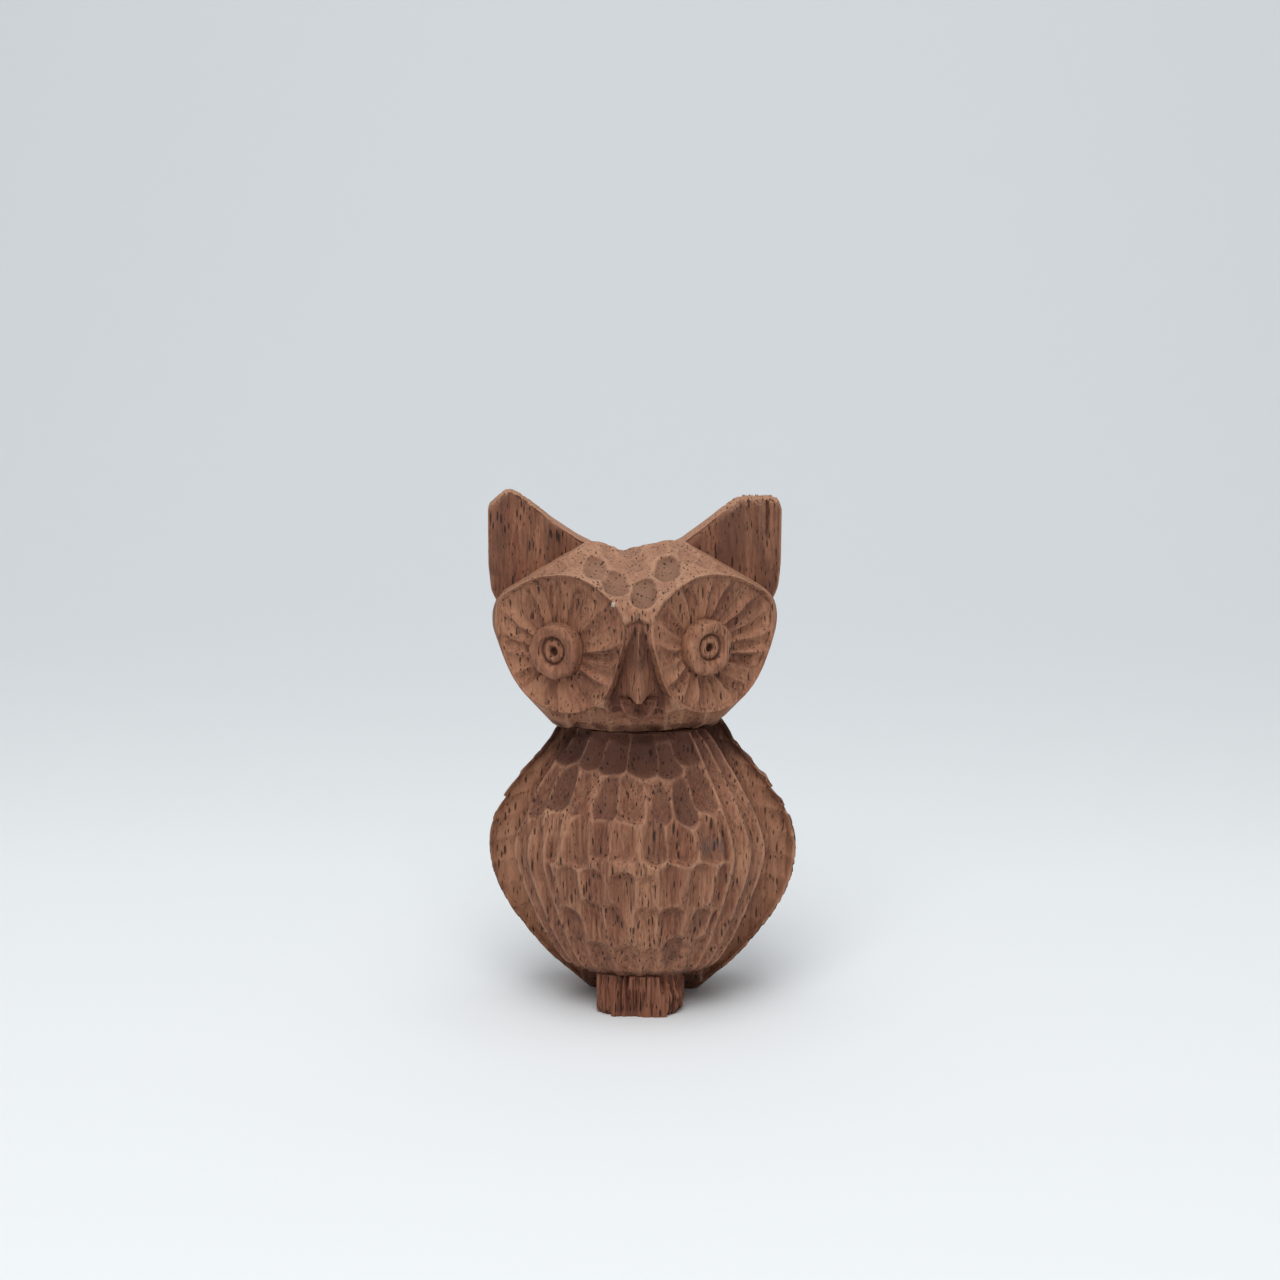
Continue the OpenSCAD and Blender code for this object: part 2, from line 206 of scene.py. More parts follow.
@dataclass
class Carving:
    """A piece being carved: its bmesh, in millimetres, with tools that work on all of it."""

    name: str
    bm: bmesh.types.BMesh = field(default_factory=bmesh.new)
    merge: float = 1e-6
    fine_passes: int = 4
    broad_passes: int = 26

    def points(self) -> np.ndarray:
        """Return every vertex's place, one to a row."""
        return np.array([v.co[:] for v in self.bm.verts], float).reshape(-1, 3)

    def normals(self) -> np.ndarray:
        """Return every vertex's outward direction, one to a row."""
        self.bm.normal_update()
        return np.array([v.normal[:] for v in self.bm.verts], float).reshape(-1, 3)

    def move_to(self, places: np.ndarray) -> None:
        """Put every vertex at its new place.

        Args:
            places: One row to a vertex.
        """
        for v, co in zip(self.bm.verts, places.tolist()):
            v.co = co

    def from_node(self, node: bpy.types.Object) -> None:
        """Start from a merged copy of a solid of the frame.

        Args:
            node: The solid's object, which is left as it is.
        """
        self.bm.from_mesh(node.data)
        bmesh.ops.remove_doubles(self.bm, verts=self.bm.verts, dist=self.merge)
        bmesh.ops.scale(self.bm, vec=Vector((1, 1, 1)) / MM, verts=self.bm.verts)
        bmesh.ops.recalc_face_normals(self.bm, faces=self.bm.faces)

    def soften(self, width: float, angle: float = 25.0, segments: int = 3) -> None:
        """Round the sharp edges.

        Args:
            width: Width of the rounding.
            angle: Only edges that turn by more than this many degrees are rounded.
            segments: Steps across the rounding.
        """
        sharp = [
            e
            for e in self.bm.edges
            if len(e.link_faces) == 2 and e.calc_face_angle(0.0) > math.radians(angle)
        ]
        bmesh.ops.bevel(
            self.bm, geom=sharp, offset=width, offset_type="OFFSET", segments=segments,
            profile=0.5, affect="EDGES", material=-1, clamp_overlap=True,
        )

    def fill_evenly(self, size: float) -> None:
        """Cover the surface with even quads.

        Args:
            size: Length of a quad's side.
        """
        mesh = bpy.data.meshes.new("blank")
        self.bm.to_mesh(mesh)
        blank = bpy.data.objects.new("blank", mesh)
        bpy.context.scene.collection.objects.link(blank)
        modifier = blank.modifiers.new("even", "REMESH")
        modifier.mode = "VOXEL"
        modifier.voxel_size = size
        graph = bpy.context.evaluated_depsgraph_get()
        self.bm.clear()
        self.bm.from_mesh(blank.evaluated_get(graph).to_mesh())
        bpy.data.objects.remove(blank)
        bpy.data.meshes.remove(mesh)

    def relax(self, times: int, factor: float = 0.5) -> None:
        """Smooth the surface a little.

        Args:
            times: Number of passes.
            factor: How far each pass moves a vertex towards its neighbours' middle.
        """
        for _ in range(times):
            bmesh.ops.smooth_vert(
                self.bm, verts=self.bm.verts, factor=factor,
                use_axis_x=True, use_axis_y=True, use_axis_z=True,
            )

    def tube(self, around: int, rows: int) -> np.ndarray:
        """Start from an upright tube with closed ends.

        Args:
            around: Number of vertices round the tube.
            rows: Number of rings of faces from bottom to top.

        Returns:
            For each vertex, its share of the way round and of the way up.
        """
        bmesh.ops.create_cone(
            self.bm, cap_ends=True, cap_tris=False, segments=around,
            radius1=1.0, radius2=1.0, depth=1.0,
        )
        upright = [e for e in self.bm.edges if abs(e.verts[0].co.z - e.verts[1].co.z) > 0.5]
        bmesh.ops.subdivide_edges(self.bm, edges=upright, cuts=rows - 1, use_grid_fill=True)
        p = self.points()
        share = np.round(np.arctan2(p[:, 1], p[:, 0]) / (2 * math.pi) * around) % around / around
        return np.column_stack((share, p[:, 2] + 0.5))

    def relief(self) -> tuple[np.ndarray, np.ndarray]:
        """Measure how ridged or hollow the surface is at each vertex.

        Returns:
            Fine and broad relief: above 0 on ridges and below 0 in hollows.
        """
        mesh = bpy.data.meshes.new("relief")
        self.bm.to_mesh(mesh)
        ends = np.zeros(len(mesh.edges) * 2, np.int32)
        mesh.edges.foreach_get("vertices", ends)
        bpy.data.meshes.remove(mesh)
        a, b = ends[0::2], ends[1::2]
        p, n = self.points(), self.normals()
        count = np.maximum(np.bincount(a, minlength=len(p)) + np.bincount(b, minlength=len(p)), 1)

        def spread(values: np.ndarray) -> np.ndarray:
            """Average each vertex's neighbours."""
            total = np.zeros_like(values)
            for k in range(values.shape[1]):
                total[:, k] = np.bincount(a, values[b, k], len(p)) + np.bincount(
                    b, values[a, k], len(p)
                )
            return total / count[:, None]

        measures, q = [], p
        for passes in (self.fine_passes, self.broad_passes):
            for _ in range(passes):
                q = 0.5 * q + 0.5 * spread(q)
            measures.append(np.einsum("ij,ij->i", p - q, n))
        return measures[0], measures[1]

    def finish(
        self, material: bpy.types.Material, tint: np.ndarray | float = 0.0,
        tone: np.ndarray | float = 0.0,
    ) -> bpy.types.Object:
        """Turn the carving into a piece that stands for the frame's solid of the same name.

        Args:
            material: The piece's finish.
            tint: How much darker and redder the wood is here, from 0 to 1.
            tone: How light the wood is here against its neighbours, from -1 to 1; in places it
                carries painted shade and painted light.

        Returns:
            The piece's object.
        """
        low, high = (np.array(corner[:]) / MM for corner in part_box(self.name))
        self.move_to(np.clip(self.points(), low, high))
        fine, broad = self.relief()
        mesh = bpy.data.meshes.new(self.name)
        bmesh.ops.scale(self.bm, vec=Vector((MM, MM, MM)), verts=self.bm.verts)
        self.bm.to_mesh(mesh)
        self.bm.free()
        for label, values in (("fine", fine), ("broad", broad), ("tint", tint), ("tone", tone)):
            layer = mesh.attributes.new(label, "FLOAT", "POINT")
            layer.data.foreach_set("value", np.broadcast_to(values, len(fine)).astype(np.float32))
        mesh.shade_smooth()
        mesh.materials.append(material)
        piece = bpy.data.objects.new(self.name, mesh)
        bpy.context.scene.collection.objects.link(piece)
        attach(piece, "root")
        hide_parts(self.name)
        return piece


@dataclass(frozen=True)
class Scoop:
    """One short stroke of a round gouge."""

    at: Triple
    out: Triple
    along: Triple
    length: float = 4.0
    radius: float = 6.0
    depth: float = 1.0
    reach: float = 10.0
    tone: float = 0.0

    def cut(self, points: np.ndarray) -> np.ndarray:
        """Press the points that the gouge meets down to its lower side.

        Args:
            points: Places before the stroke.

        Returns:
            Places after the stroke.
        """
        out = np.array(self.out, float)
        out /= np.linalg.norm(out)
        along = np.array(self.along, float)
        along -= out * along.dot(out)
        along /= max(np.linalg.norm(along), 1e-9)
        rel = points - (np.array(self.at) + out * (self.radius - self.depth))
        t = np.clip(rel @ along, -self.length / 2, self.length / 2)
        rel = rel - t[:, None] * along
        height = rel @ out
        wide = np.maximum((rel**2).sum(1) - height**2, 0.0)
        inside = (wide < self.radius**2) & (height > -self.radius - self.reach)
        near = ((points - np.array(self.at)) ** 2).sum(1) < (self.length + self.reach) ** 2
        drop = height + np.sqrt(np.maximum(self.radius**2 - wide, 0.0))
        drop = np.where(inside & near & (drop > 0), drop, 0.0)
        return points - drop[:, None] * out


# ---------------------------------------------------------------- body


@dataclass(frozen=True)
class MarkRow:
    """A row of gouge marks across the breast.

    The marks' rounded ends are at the row's height. They run up from it, or down when run is
    below 0, and shift moves them sideways by that share of their spacing.
    """

    height: float
    run: float
    count: int
    shift: float = 0.0
    depth: float = 1.0
    tone: float = 0.0


@dataclass
class Body:
    """Breast, folded wings and tail, whose sections follow the same outlines from floor to neck."""

    neck: float = 66.0
    foot: float = 9.5
    half_span: float = 36.1
    half_breast: float = 28.9
    belly: float = 24.4
    back: float = 24.5
    breast_arc: float = 48.0
    undercut: float = 2.2
    wing_power: float = 2.2
    feathers: int = 12
    feather_depth: float = 0.75
    front_share: float = 0.38
    wall_share: float = 0.06
    mark_depth: float = 1.9
    mark_radius: float = 3.1
    mark_width: float = 6.2
    mark_entry: float = 2.4
    mark_spread: float = 0.3
    mark_stagger: float = 3.0
    mark_lean: float = 0.14
    mark_variety: float = 0.6
    mark_hollow_shade: float = -0.3
    tone_variety: float = 0.9
    side_cuts: float = 34.0
    side_depth: float = 1.3
    neck_crevice: tuple[float, float] = (62.6, 65.4)
    tuck_height: float = 3.0
    tuck_depth: float = 1.3
    slant: float = 0.012
    shoulder: float = 46.5
    shoulder_rows: int = 3
    shoulder_step: float = 6.4
    scallop: float = 5.6
    band_hollow: float = 2.3
    facet: float = 5.4
    facet_depth: float = 0.55
    edge: float = 0.8
    wing_outline: Curve = field(default_factory=lambda: [
        (0, 0.355), (3, 0.44), (8, 0.59), (15, 0.753), (22, 0.885), (29, 0.97), (36.5, 1.0),
        (42.5, 0.973), (48, 0.909), (54, 0.795), (60, 0.645), (66, 0.535)])
    breast_outline: Curve = field(default_factory=lambda: [
        (9.5, 0.56), (13, 0.65), (18, 0.75), (25, 0.857), (31.5, 0.945), (38.5, 1.0),
        (46, 0.935), (53, 0.815), (65, 0.56), (66, 0.54)])
    breast_front: Curve = field(default_factory=lambda: [
        (9.5, 0.68), (20, 0.885), (32, 0.99), (39, 1.0), (49, 0.91), (59, 0.71), (66, 0.555)])
    wing_front: Curve = field(default_factory=lambda: [
        (0, 6.5), (5, 4.5), (10, 3), (20, 1.5), (30, 0.5), (40, -0.5), (52, -1.5), (66, 0)])
    wing_back: Curve = field(default_factory=lambda: [
        (0, 0.955), (8, 0.985), (20, 1.0), (36, 1.0), (48, 0.93), (58, 0.77), (66, 0.58)])
    tail_outline: Curve = field(default_factory=lambda: [
        (0, 6.6), (12, 6.2), (22, 4.2), (28, 0.6)])
    # The top row's dark tone is painted shade under the head.
    rows: list[MarkRow] = field(default_factory=lambda: [
        MarkRow(57.6, 11, 7, 0.1, 1.5, -0.8), MarkRow(47.2, 12, 9, -0.2, 1.1, -0.45),
        MarkRow(37.4, 12.5, 10, 0.15, 1.0, 0.05), MarkRow(37.8, -12, 10, -0.1, 0.8, 0.15),
        MarkRow(28.6, -11, 9, 0.3, 0.85, 0.05), MarkRow(20.0, -12, 8, 0.0, 0.85, -0.1)])

    def breast_cut(
        self, a: np.ndarray, z: np.ndarray, r: np.ndarray
    ) -> tuple[np.ndarray, np.ndarray]:
        """Give the depth of the breast's gouge marks.

        Args:
            a: Angles on the breast's arc, in degrees.
            z: Heights.
            r: Radius of the arc at each height.

        Returns:
            Depth below the uncut breast, and the tone of the mark.
        """
        deep, tone = np.zeros_like(z), np.zeros_like(z)
        for k, row in enumerate(self.rows):
            pitch = 2 * self.breast_arc / row.count
            for c in range(-1, row.count + 1):
                i = k * 11 + c
                place = c + 0.5 + row.shift + self.mark_spread * float(uneven(i))
                mid = place * pitch - self.breast_arc
                end = row.height + self.mark_stagger * float(uneven(3 * i + 1))
                s = (z - end) * math.copysign(1.0, row.run)
                lean = self.mark_lean * float(uneven(5 * i + 2)) * s
                across = np.radians(a - mid) * r + lean
                enter = 1 - np.clip(1 - s / self.mark_entry, 0, 1) ** 2
                leave = 1 - 0.75 * smooth(0, 1, (s - self.mark_entry) / abs(row.run))
                most = self.mark_depth * row.depth * (
                    1 + self.mark_variety * float(uneven(7 * i + 3)))
                width = np.minimum(1.0, np.radians(pitch) * r / self.mark_width)
                depth = most * width * enter * leave - across**2 / (2 * self.mark_radius)
                depth = np.where(s > 0, depth, 0.0)
                # A mark's tone is strongest where it is deepest, and the marks' shared base tone
                # darkens each one there: painted shade in the hollows.
                shade = row.tone + self.mark_hollow_shade + self.tone_variety * float(
                    uneven(9 * i + 4 * k))
                shade = shade * smooth(0.2, 1.0, depth)
                tone = np.where(depth > deep, shade, tone)
                deep = np.maximum(deep, depth)
        # Long cuts run down beside the breast's edges, but not at the upper right.
        edge = (np.abs(a) - self.side_cuts) / (self.breast_arc - self.side_cuts) * 2
        count = np.clip(np.floor(edge), 0, 1)
        across = 2 * (edge - count) - 1
        long = smooth(-0.25, 0.1, edge) * np.where(a > 0, 1.0, 1 - smooth(42, 47, z))
        side_cut = self.side_depth * (1 - across**2) * np.where(count > 0, 0.75, 1.0)
        deep = deep + (side_cut - deep) * long
        tone = tone + (0.25 - 0.5 * (count > 0) - tone) * long
        return deep, tone

    def make_breast(self, wood: bpy.types.Material) -> bpy.types.Object:
        """Carve the breast and belly.

        Args:
            wood: The finish.

        Returns:
            The finished piece.
        """
        carving = Carving("breast")
        at = carving.tube(332, 210)
        v = (at[:, 0] - 0.25) % 1.0
        z = self.foot + (self.neck - self.foot) * at[:, 1]
        w = self.half_breast * profile(self.breast_outline, z)
        front = -self.belly * profile(self.breast_front, z)
        seam = profile(self.wing_front, z)
        r = w / math.sin(math.radians(self.breast_arc))
        side = np.sign(v - 0.5) + (v == 0.5)
        out = np.abs(v - 0.5)
        a = np.where(out <= self.front_share, side * out / self.front_share, side) * self.breast_arc
        deep, tone = self.breast_cut(a, z, r)
        girth = np.column_stack((a * r * 0.0175, z * 0, z))
        crevice = (0.7 + 0.9 * noise(girth, (2.4, 1, 1.6), 61)) * smooth(*self.neck_crevice, z)
        tuck = 1 - smooth(self.foot, self.foot + self.tuck_height, z)
        k = r - deep - crevice - self.tuck_depth * tuck**2 - 0.10 * noise(
            girth, (1.6, 1.0, 3.0), 62)
        edge_x, edge_y = k * np.sin(np.radians(a)), front + r - k * np.cos(np.radians(a))
        wall = np.clip((out - self.front_share) / self.wall_share, 0, 1)
        rear = np.clip((out - self.front_share - self.wall_share) / self.wall_share, 0, 1)
        foot_x = side * (w - self.undercut)
        x = edge_x + (foot_x - edge_x) * wall
        y = edge_y + (seam - edge_y) * wall
        x *= 1 - rear
        carving.move_to(np.column_stack((x, y, z)))
        carving.relax(4, 0.5)
        # Painted shade: the breast darkens towards its top under the head and in the tuck just
        # above the foot.
        tone -= 0.3 * smooth(60, 64, z) + 0.9 * tuck
        return carving.finish(wood, tone=tone)

    def feather_cut(self, x: np.ndarray, z: np.ndarray) -> np.ndarray:
        """Give the depth of the cuts between the long feathers of a folded wing.

        Args:
            x: Distance from the middle of the back.
            z: Heights.

        Returns:
            Depth below the uncut back.
        """
        s = np.abs(x) * self.feathers / self.half_span + self.slant * z
        i = np.floor(s)
        fade = smooth(1, 6, z) * (1 - smooth(46, 54, z))
        step = (s - i) ** 1.5
        return self.feather_depth * fade * (0.75 + 0.5 * uneven(i)) * (0.35 + 0.65 * step)

    def shoulder_cut(self, x: np.ndarray, z: np.ndarray) -> np.ndarray:
        """Give the depth of the scalloped small feathers on a wing's shoulder.

        Args:
            x: Distance from the middle of the back.
            z: Heights.

        Returns:
            Depth below the uncut back.
        """
        deep = np.zeros_like(z)
        for row in range(self.shoulder_rows):
            low = self.shoulder + row * self.shoulder_step
            for c in range(-1, 8):
                place = c + (row % 2) / 2
                mid = 3 + place * self.scallop + 0.8 * float(uneven(row * 9 + c))
                s = z - low - 1.2 * float(uneven(row * 5 + c * 3))
                enter = 1 - np.clip(1 - s / 2.2, 0, 1) ** 2
                leave = 1 - 0.8 * smooth(1, 10, s)
                depth = 1.05 * enter * leave - (np.abs(x) - mid) ** 2 / 8.4
                deep = np.maximum(deep, np.where(s > 0, depth, 0.0))
        return deep

    def edge_nicks(self, z: np.ndarray, side: Side) -> np.ndarray:
        """Give the depth of the nicks along a wing's outer edge.

        Args:
            z: Heights.
            side: Which wing.

        Returns:
            Depth of each nick below the edge.
        """
        pitch = 4.4 if side is Side.LEFT else 5.6
        s = z / pitch + 0.4
        i = np.floor(s)
        high = smooth(40, 45, z) * (1 - smooth(61, 64, z))
        strong = 1.6 if side is Side.LEFT else 0.9
        t = z / 1.9
        low = smooth(6, 10, z) * (1 - smooth(34, 40, z)) * (0.34 if side is Side.LEFT else 0.12)
        teeth = low * (t - np.floor(t)) * (0.8 + uneven(np.floor(t)))
        return strong * high * (s - i) ** 2 * (0.7 + uneven(i)) + teeth

    def make_wing(self, side: Side, wood: bpy.types.Material) -> bpy.types.Object:
        """Carve one folded wing.

        Args:
            side: Which wing.
            wood: The finish.

        Returns:
            The finished piece.
        """
        carving = Carving(f"{side.word}_wing")
        at = carving.tube(320, 220)
        v, z = at[:, 0], self.neck * at[:, 1]
        w = self.half_span * profile(self.wing_outline, z)
        x0 = np.where(z > 28, 0.0, profile(self.tail_outline, z))
        y0 = profile(self.wing_front, z)
        y1 = self.back * profile(self.wing_back, z)
        inner = np.maximum(x0 + 0.5, self.half_breast * profile(
            self.breast_outline, np.maximum(z, self.foot)) - self.undercut)
        # From v = 0 the section goes over the front, outwards, and then round the back.
        turn = 0.4
        on_front = v < turn
        f = v / turn
        x = x0 + (w - x0) * f
        band = np.clip((x - inner) / np.maximum(w - inner, 0.5), 0, 1)
        rim = 1 - smooth(0.0, 2.0, w - x)
        hollow = self.band_hollow * np.sin(np.pi * band) ** 0.7 * (x > inner)
        facet = z / self.facet + 0.25 * side.value + 0.5 * band
        i = np.floor(facet)
        facet = 2 * (facet - i) - 1
        streak = 0.16 * noise(np.column_stack((x, z * 0, z)), (0.7, 1.0, 9.0), 5)
        streak += self.facet_depth * (1 - facet**2) * (0.8 + uneven(i)) * smooth(0.15, 0.6, band)
        front = np.column_stack((
            x, y0 + hollow * (1 - rim) + self.edge * rim**2 + streak * (x > inner), z))
        s = (v - turn) / (1 - turn)
        t_end = np.arccos(np.clip((x0 / w) ** (self.wing_power / 2), 0, 1))
        t = t_end * s
        c, sn = np.cos(t) ** (2 / self.wing_power), np.abs(np.sin(t)) ** (2 / self.wing_power)
        xb = w * c
        cut = np.maximum(self.feather_cut(xb, z), self.shoulder_cut(xb, z))
        cut = cut * smooth(0, 1.6, xb - x0) + self.edge_nicks(z, side) * (1 - smooth(0, 0.25, s))
        rear = np.column_stack((
            xb - cut * np.cos(t),
            y0 + self.edge + (y1 - y0 - self.edge) * sn - cut * np.sin(t), z))
        places = np.where(on_front[:, None], front, rear)
        edge = 1 - smooth(0, 1.4, w - places[:, 0])
        places[:, 0] -= self.edge_nicks(z, side) * edge * on_front
        places[:, 0] *= side.value
        carving.move_to(places)
        bmesh.ops.recalc_face_normals(carving.bm, faces=carving.bm.faces)
        carving.relax(1, 0.3)
        number = np.floor(xb * self.feathers / self.half_span + self.slant * z)
        # The wing's front band is darker in the crease by the breast and lighter towards its outer
        # edge: painted shade in the crease and a painted highlight along the rim, with a tone of
        # its own for each facet.
        face = 2.0 * smooth(0.1, 0.6, band) - 0.7 + 0.6 * uneven(i * 3)
        tone = np.where(on_front, face, 0.8 * uneven(number * 5 + side.value))
        return carving.finish(wood, tone=tone)

    def make_tail(self, wood: bpy.types.Material) -> bpy.types.Object:
        """Carve the tail between the wing tips.

        Args:
            wood: The finish.

        Returns:
            The finished piece.
        """
        carving = Carving("tail")
        at = carving.tube(160, 90)
        top = 27.4
        v, z = at[:, 0], top * at[:, 1]
        w = profile(self.tail_outline, z)
        y0 = profile(self.wing_front, z)
        yb = self.back * profile(self.wing_back, z)
        span = self.half_span * profile(self.wing_outline, z)
        edge = y0 + self.edge + (yb - y0 - self.edge) * (1 - (w / span) ** self.wing_power) ** (
            1 / self.wing_power)
        f = np.clip(v / 0.4, 0, 1)
        s = 1 - 2 * np.clip((v - 0.45) / 0.5, 0, 1)
        rib = 0.55 * (1 - s**4) - 0.6 * np.cos(np.radians(270 * s)) ** 2 * (1 - s**6)
        x = np.where(v < 0.4, w * (2 * f - 1), w * s)
        y = np.where(v < 0.4, y0, edge + rib)
        carving.move_to(np.column_stack((x, y, z)))
        bmesh.ops.recalc_face_normals(carving.bm, faces=carving.bm.faces)
        return carving.finish(wood)

    def make(self, wood: bpy.types.Material) -> Iterator[bpy.types.Object]:
        """Carve the body's pieces one after another.

        Args:
            wood: The finish.

        Yields:
            Each finished piece.
        """
        yield self.make_breast(wood)
        for side in Side:
            yield self.make_wing(side, wood)
        yield self.make_tail(wood)


@dataclass
class Foot:
    """The whittled foot block, whose fibres were torn out down its front."""

    half_width: float = 10.0
    front: float = -16.0
    rear: float = 2.0
    height: float = 9.5
    squareness: float = 7.0
    most_torn: float = 3.0

    def make(self, wood: bpy.types.Material) -> Iterator[bpy.types.Object]:
        """Whittle the foot.

        Args:
            wood: The finish.

        Yields:
            The finished piece.
        """
        carving = Carving("foot_block")
        at = carving.tube(640, 70)
        angle, z = at[:, 0] * 2 * math.pi, self.height * at[:, 1]
        c, s = np.cos(angle), np.sin(angle)
        power = self.squareness
        reach = (np.abs(c) ** power + np.abs(s) ** power) ** (-1 / power)
        half_depth = (self.rear - self.front) / 2
        x, y = c * reach * self.half_width, s * reach * half_depth
        girth = np.column_stack((x, y, z))
        coarse = noise(girth, (1.5, 1.5, 14), 3)
        torn = noise(girth, (0.62, 0.62, 9.0), 4) + 0.5 * noise(girth, (0.26, 0.26, 4.0), 5)
        deep = 0.65 + 0.7 * coarse + 1.15 * torn
        ragged = smooth(6.4, 8.6, z + 1.4 * noise(girth, (0.8, 0.8, 3), 8)) * (0.8 + coarse)
        ragged += 1.6 * smooth(4.6, 6.6, z) * smooth(4.6, 6.0, x)
        round_over = 1.5 * (np.abs(c) > 0.55) * (1 - smooth(0.0, 2.2, z)) ** 2
        front = (s < 0) * 1.2 * (np.abs(x) / self.half_width) ** 3
        sole = 0.45 + 0.55 * smooth(0.0, 1.4, z)
        pull = np.clip(deep * sole + ragged + round_over, 0.02, self.most_torn)
        x -= np.sign(x) * np.minimum(np.abs(c) * pull * 0.8, np.abs(x))
        y -= np.sign(s) * np.minimum(np.abs(s) * (pull + front), np.abs(y))
        carving.move_to(np.column_stack((x, y + (self.rear + self.front) / 2, z)))
        # The wood is darker where it is torn deeper, and painted shade darkens the top of the block
        # under the breast.
        tone = np.clip(-0.9 * (deep - 0.55) - 0.5 * smooth(6.5, 9.0, z), -1.0, 0.15)
        yield carving.finish(wood, 1.0, tone)


# ---------------------------------------------------------------- head


@dataclass
class Head:
    """The head and what is carved on it, in the head's own frame, which is turned a little."""

    turn: float = 5.0
    shift: float = 1.6
    disc_radius: float = 17.0
    disc_turn: float = 32.0
    disc_at: Triple = (18.0, -12.6, 88.0)
    plate: float = 2.6
    dish: float = 1.5
    flutes: int = 20
    flute_depth: float = 1.1
    moat_depth: float = 0.75
    wall: float = 0.06
    lip: float = 0.14
    lip_width: float = 0.045
    eye_radius: float = 6.3
    neck: float = 66.0
    neck_half_width: float = 19.2
    neck_half_depth: float = 13.6
    crest: Triple = (9.4, 0.5, 108.6)
    crest_radius: float = 5.0
    cheek_radius: float = 8.4
    cheeks: tuple[Triple, ...] = ((24.8, 4, 90.5), (22.6, 4, 84), (13, 11.5, 92), (12, 11, 82))
    grain_size: float = 0.42
    valley_depth: float = 1.5
    bridge_depth: float = 0.9
    beak_width: float = 0.84
    skull_rows: int = 4
    skull_strokes: int = 8
    under_strokes: int = 9
    eye_at: dict[Side, tuple[float, float]] = field(default_factory=lambda: {
        Side.RIGHT: (0.8, -2.8), Side.LEFT: (-2.1, -1.9)})
    rim_outline: Curve = field(default_factory=lambda: [
        (0, 0.95), (25, 1.02), (48, 0.905), (80, 0.858), (105, 0.9), (133, 0.97), (160, 1.06),
        (195, 0.965), (230, 1.02), (268, 0.99), (300, 0.95), (335, 0.9), (360, 0.95)])
    ring_radius: Curve = field(default_factory=lambda: [
        (0, 6.3), (0.2, 6.25), (0.27, 5.9), (0.34, 5.2), (0.48, 3.9), (0.55, 3.3), (0.62, 2.9),
        (0.7, 2.3), (0.78, 1.6), (0.84, 1.1), (0.9, 0.9), (1, 0.7)])
    ring_height: Curve = field(default_factory=lambda: [
        (0, -2.6), (0.2, 0.3), (0.27, 1.0), (0.34, 1.3), (0.48, 1.15), (0.55, 0.5), (0.62, 0.0),
        (0.7, 0.55), (0.78, 0.8), (0.84, 0.3), (0.9, -0.8), (1, -1.1)])

    def head_frame(self) -> Matrix:
        """Return the matrix from the head's frame to the owl's."""
        return Matrix.Translation((-self.shift, 0, 0)) @ Matrix.Rotation(
            math.radians(self.turn), 4, "Z")

    def disc_frame(self, side: Side) -> Matrix:
        """Return the matrix from a disc's frame, with X outwards and Z forwards, to the head's."""
        x, y, z = self.disc_at
        return (
            Matrix.Translation((side.value * x, y, z))
            @ Matrix.Rotation(math.radians(side.value * self.disc_turn), 4, "Z")
            @ Matrix.Rotation(math.radians(90), 4, "X")
            @ Matrix.Diagonal((side.value, 1, 1, 1))
        )

    def rim(self, degrees: np.ndarray) -> np.ndarray:
        """Return a disc's radius at each angle, from its outer side over its top."""
        return self.disc_radius * profile(self.rim_outline, degrees % 360)

    @staticmethod
    def place(points: np.ndarray, matrix: Matrix) -> np.ndarray:
        """Move points by a matrix.

        Args:
            points: One to a row.
            matrix: Where to.

        Returns:
            The moved points.
        """
        m = np.array(matrix)
        return points @ m[:3, :3].T + m[:3, 3]

    def rough_out(self, carving: Carving) -> None:
        """Hew the head's plain form round the discs, the crest and the neck.

        Args:
            carving: The empty carving to fill.
        """
        bm = carving.bm
        for side in Side:
            for depth in (0.0, -self.plate):
                ring = bmesh.ops.create_circle(bm, segments=90, radius=1.0)["verts"]
                for v in ring:
                    a = math.degrees(math.atan2(v.co.y, v.co.x))
                    v.co = v.co.normalized() * float(self.rim(np.array(a)))
                    v.co.z = depth
                bmesh.ops.transform(bm, matrix=self.disc_frame(side), verts=ring)
            top = (*self.crest[:2], self.crest[2] - self.crest_radius)
            balls = [(place, self.cheek_radius) for place in self.cheeks]
            for (x, y, z), radius in (*balls, (top, self.crest_radius)):
                bmesh.ops.create_uvsphere(
                    bm, u_segments=48, v_segments=32, radius=radius,
                    matrix=Matrix.Translation((side.value * x, y, z)))
        bmesh.ops.create_circle(
            bm, segments=72, radius=1.0,
            matrix=Matrix.Translation((0, 1, self.neck)) @ Matrix.Diagonal(
                (self.neck_half_width, self.neck_half_depth, 1, 1)))
        made = bmesh.ops.convex_hull(bm, input=bm.verts)
        spare = {v for v in bm.verts if not v.link_faces}
        spare |= {g for g in made["geom_interior"] if isinstance(g, bmesh.types.BMVert)}
        bmesh.ops.delete(bm, geom=list(spare), context="VERTS")

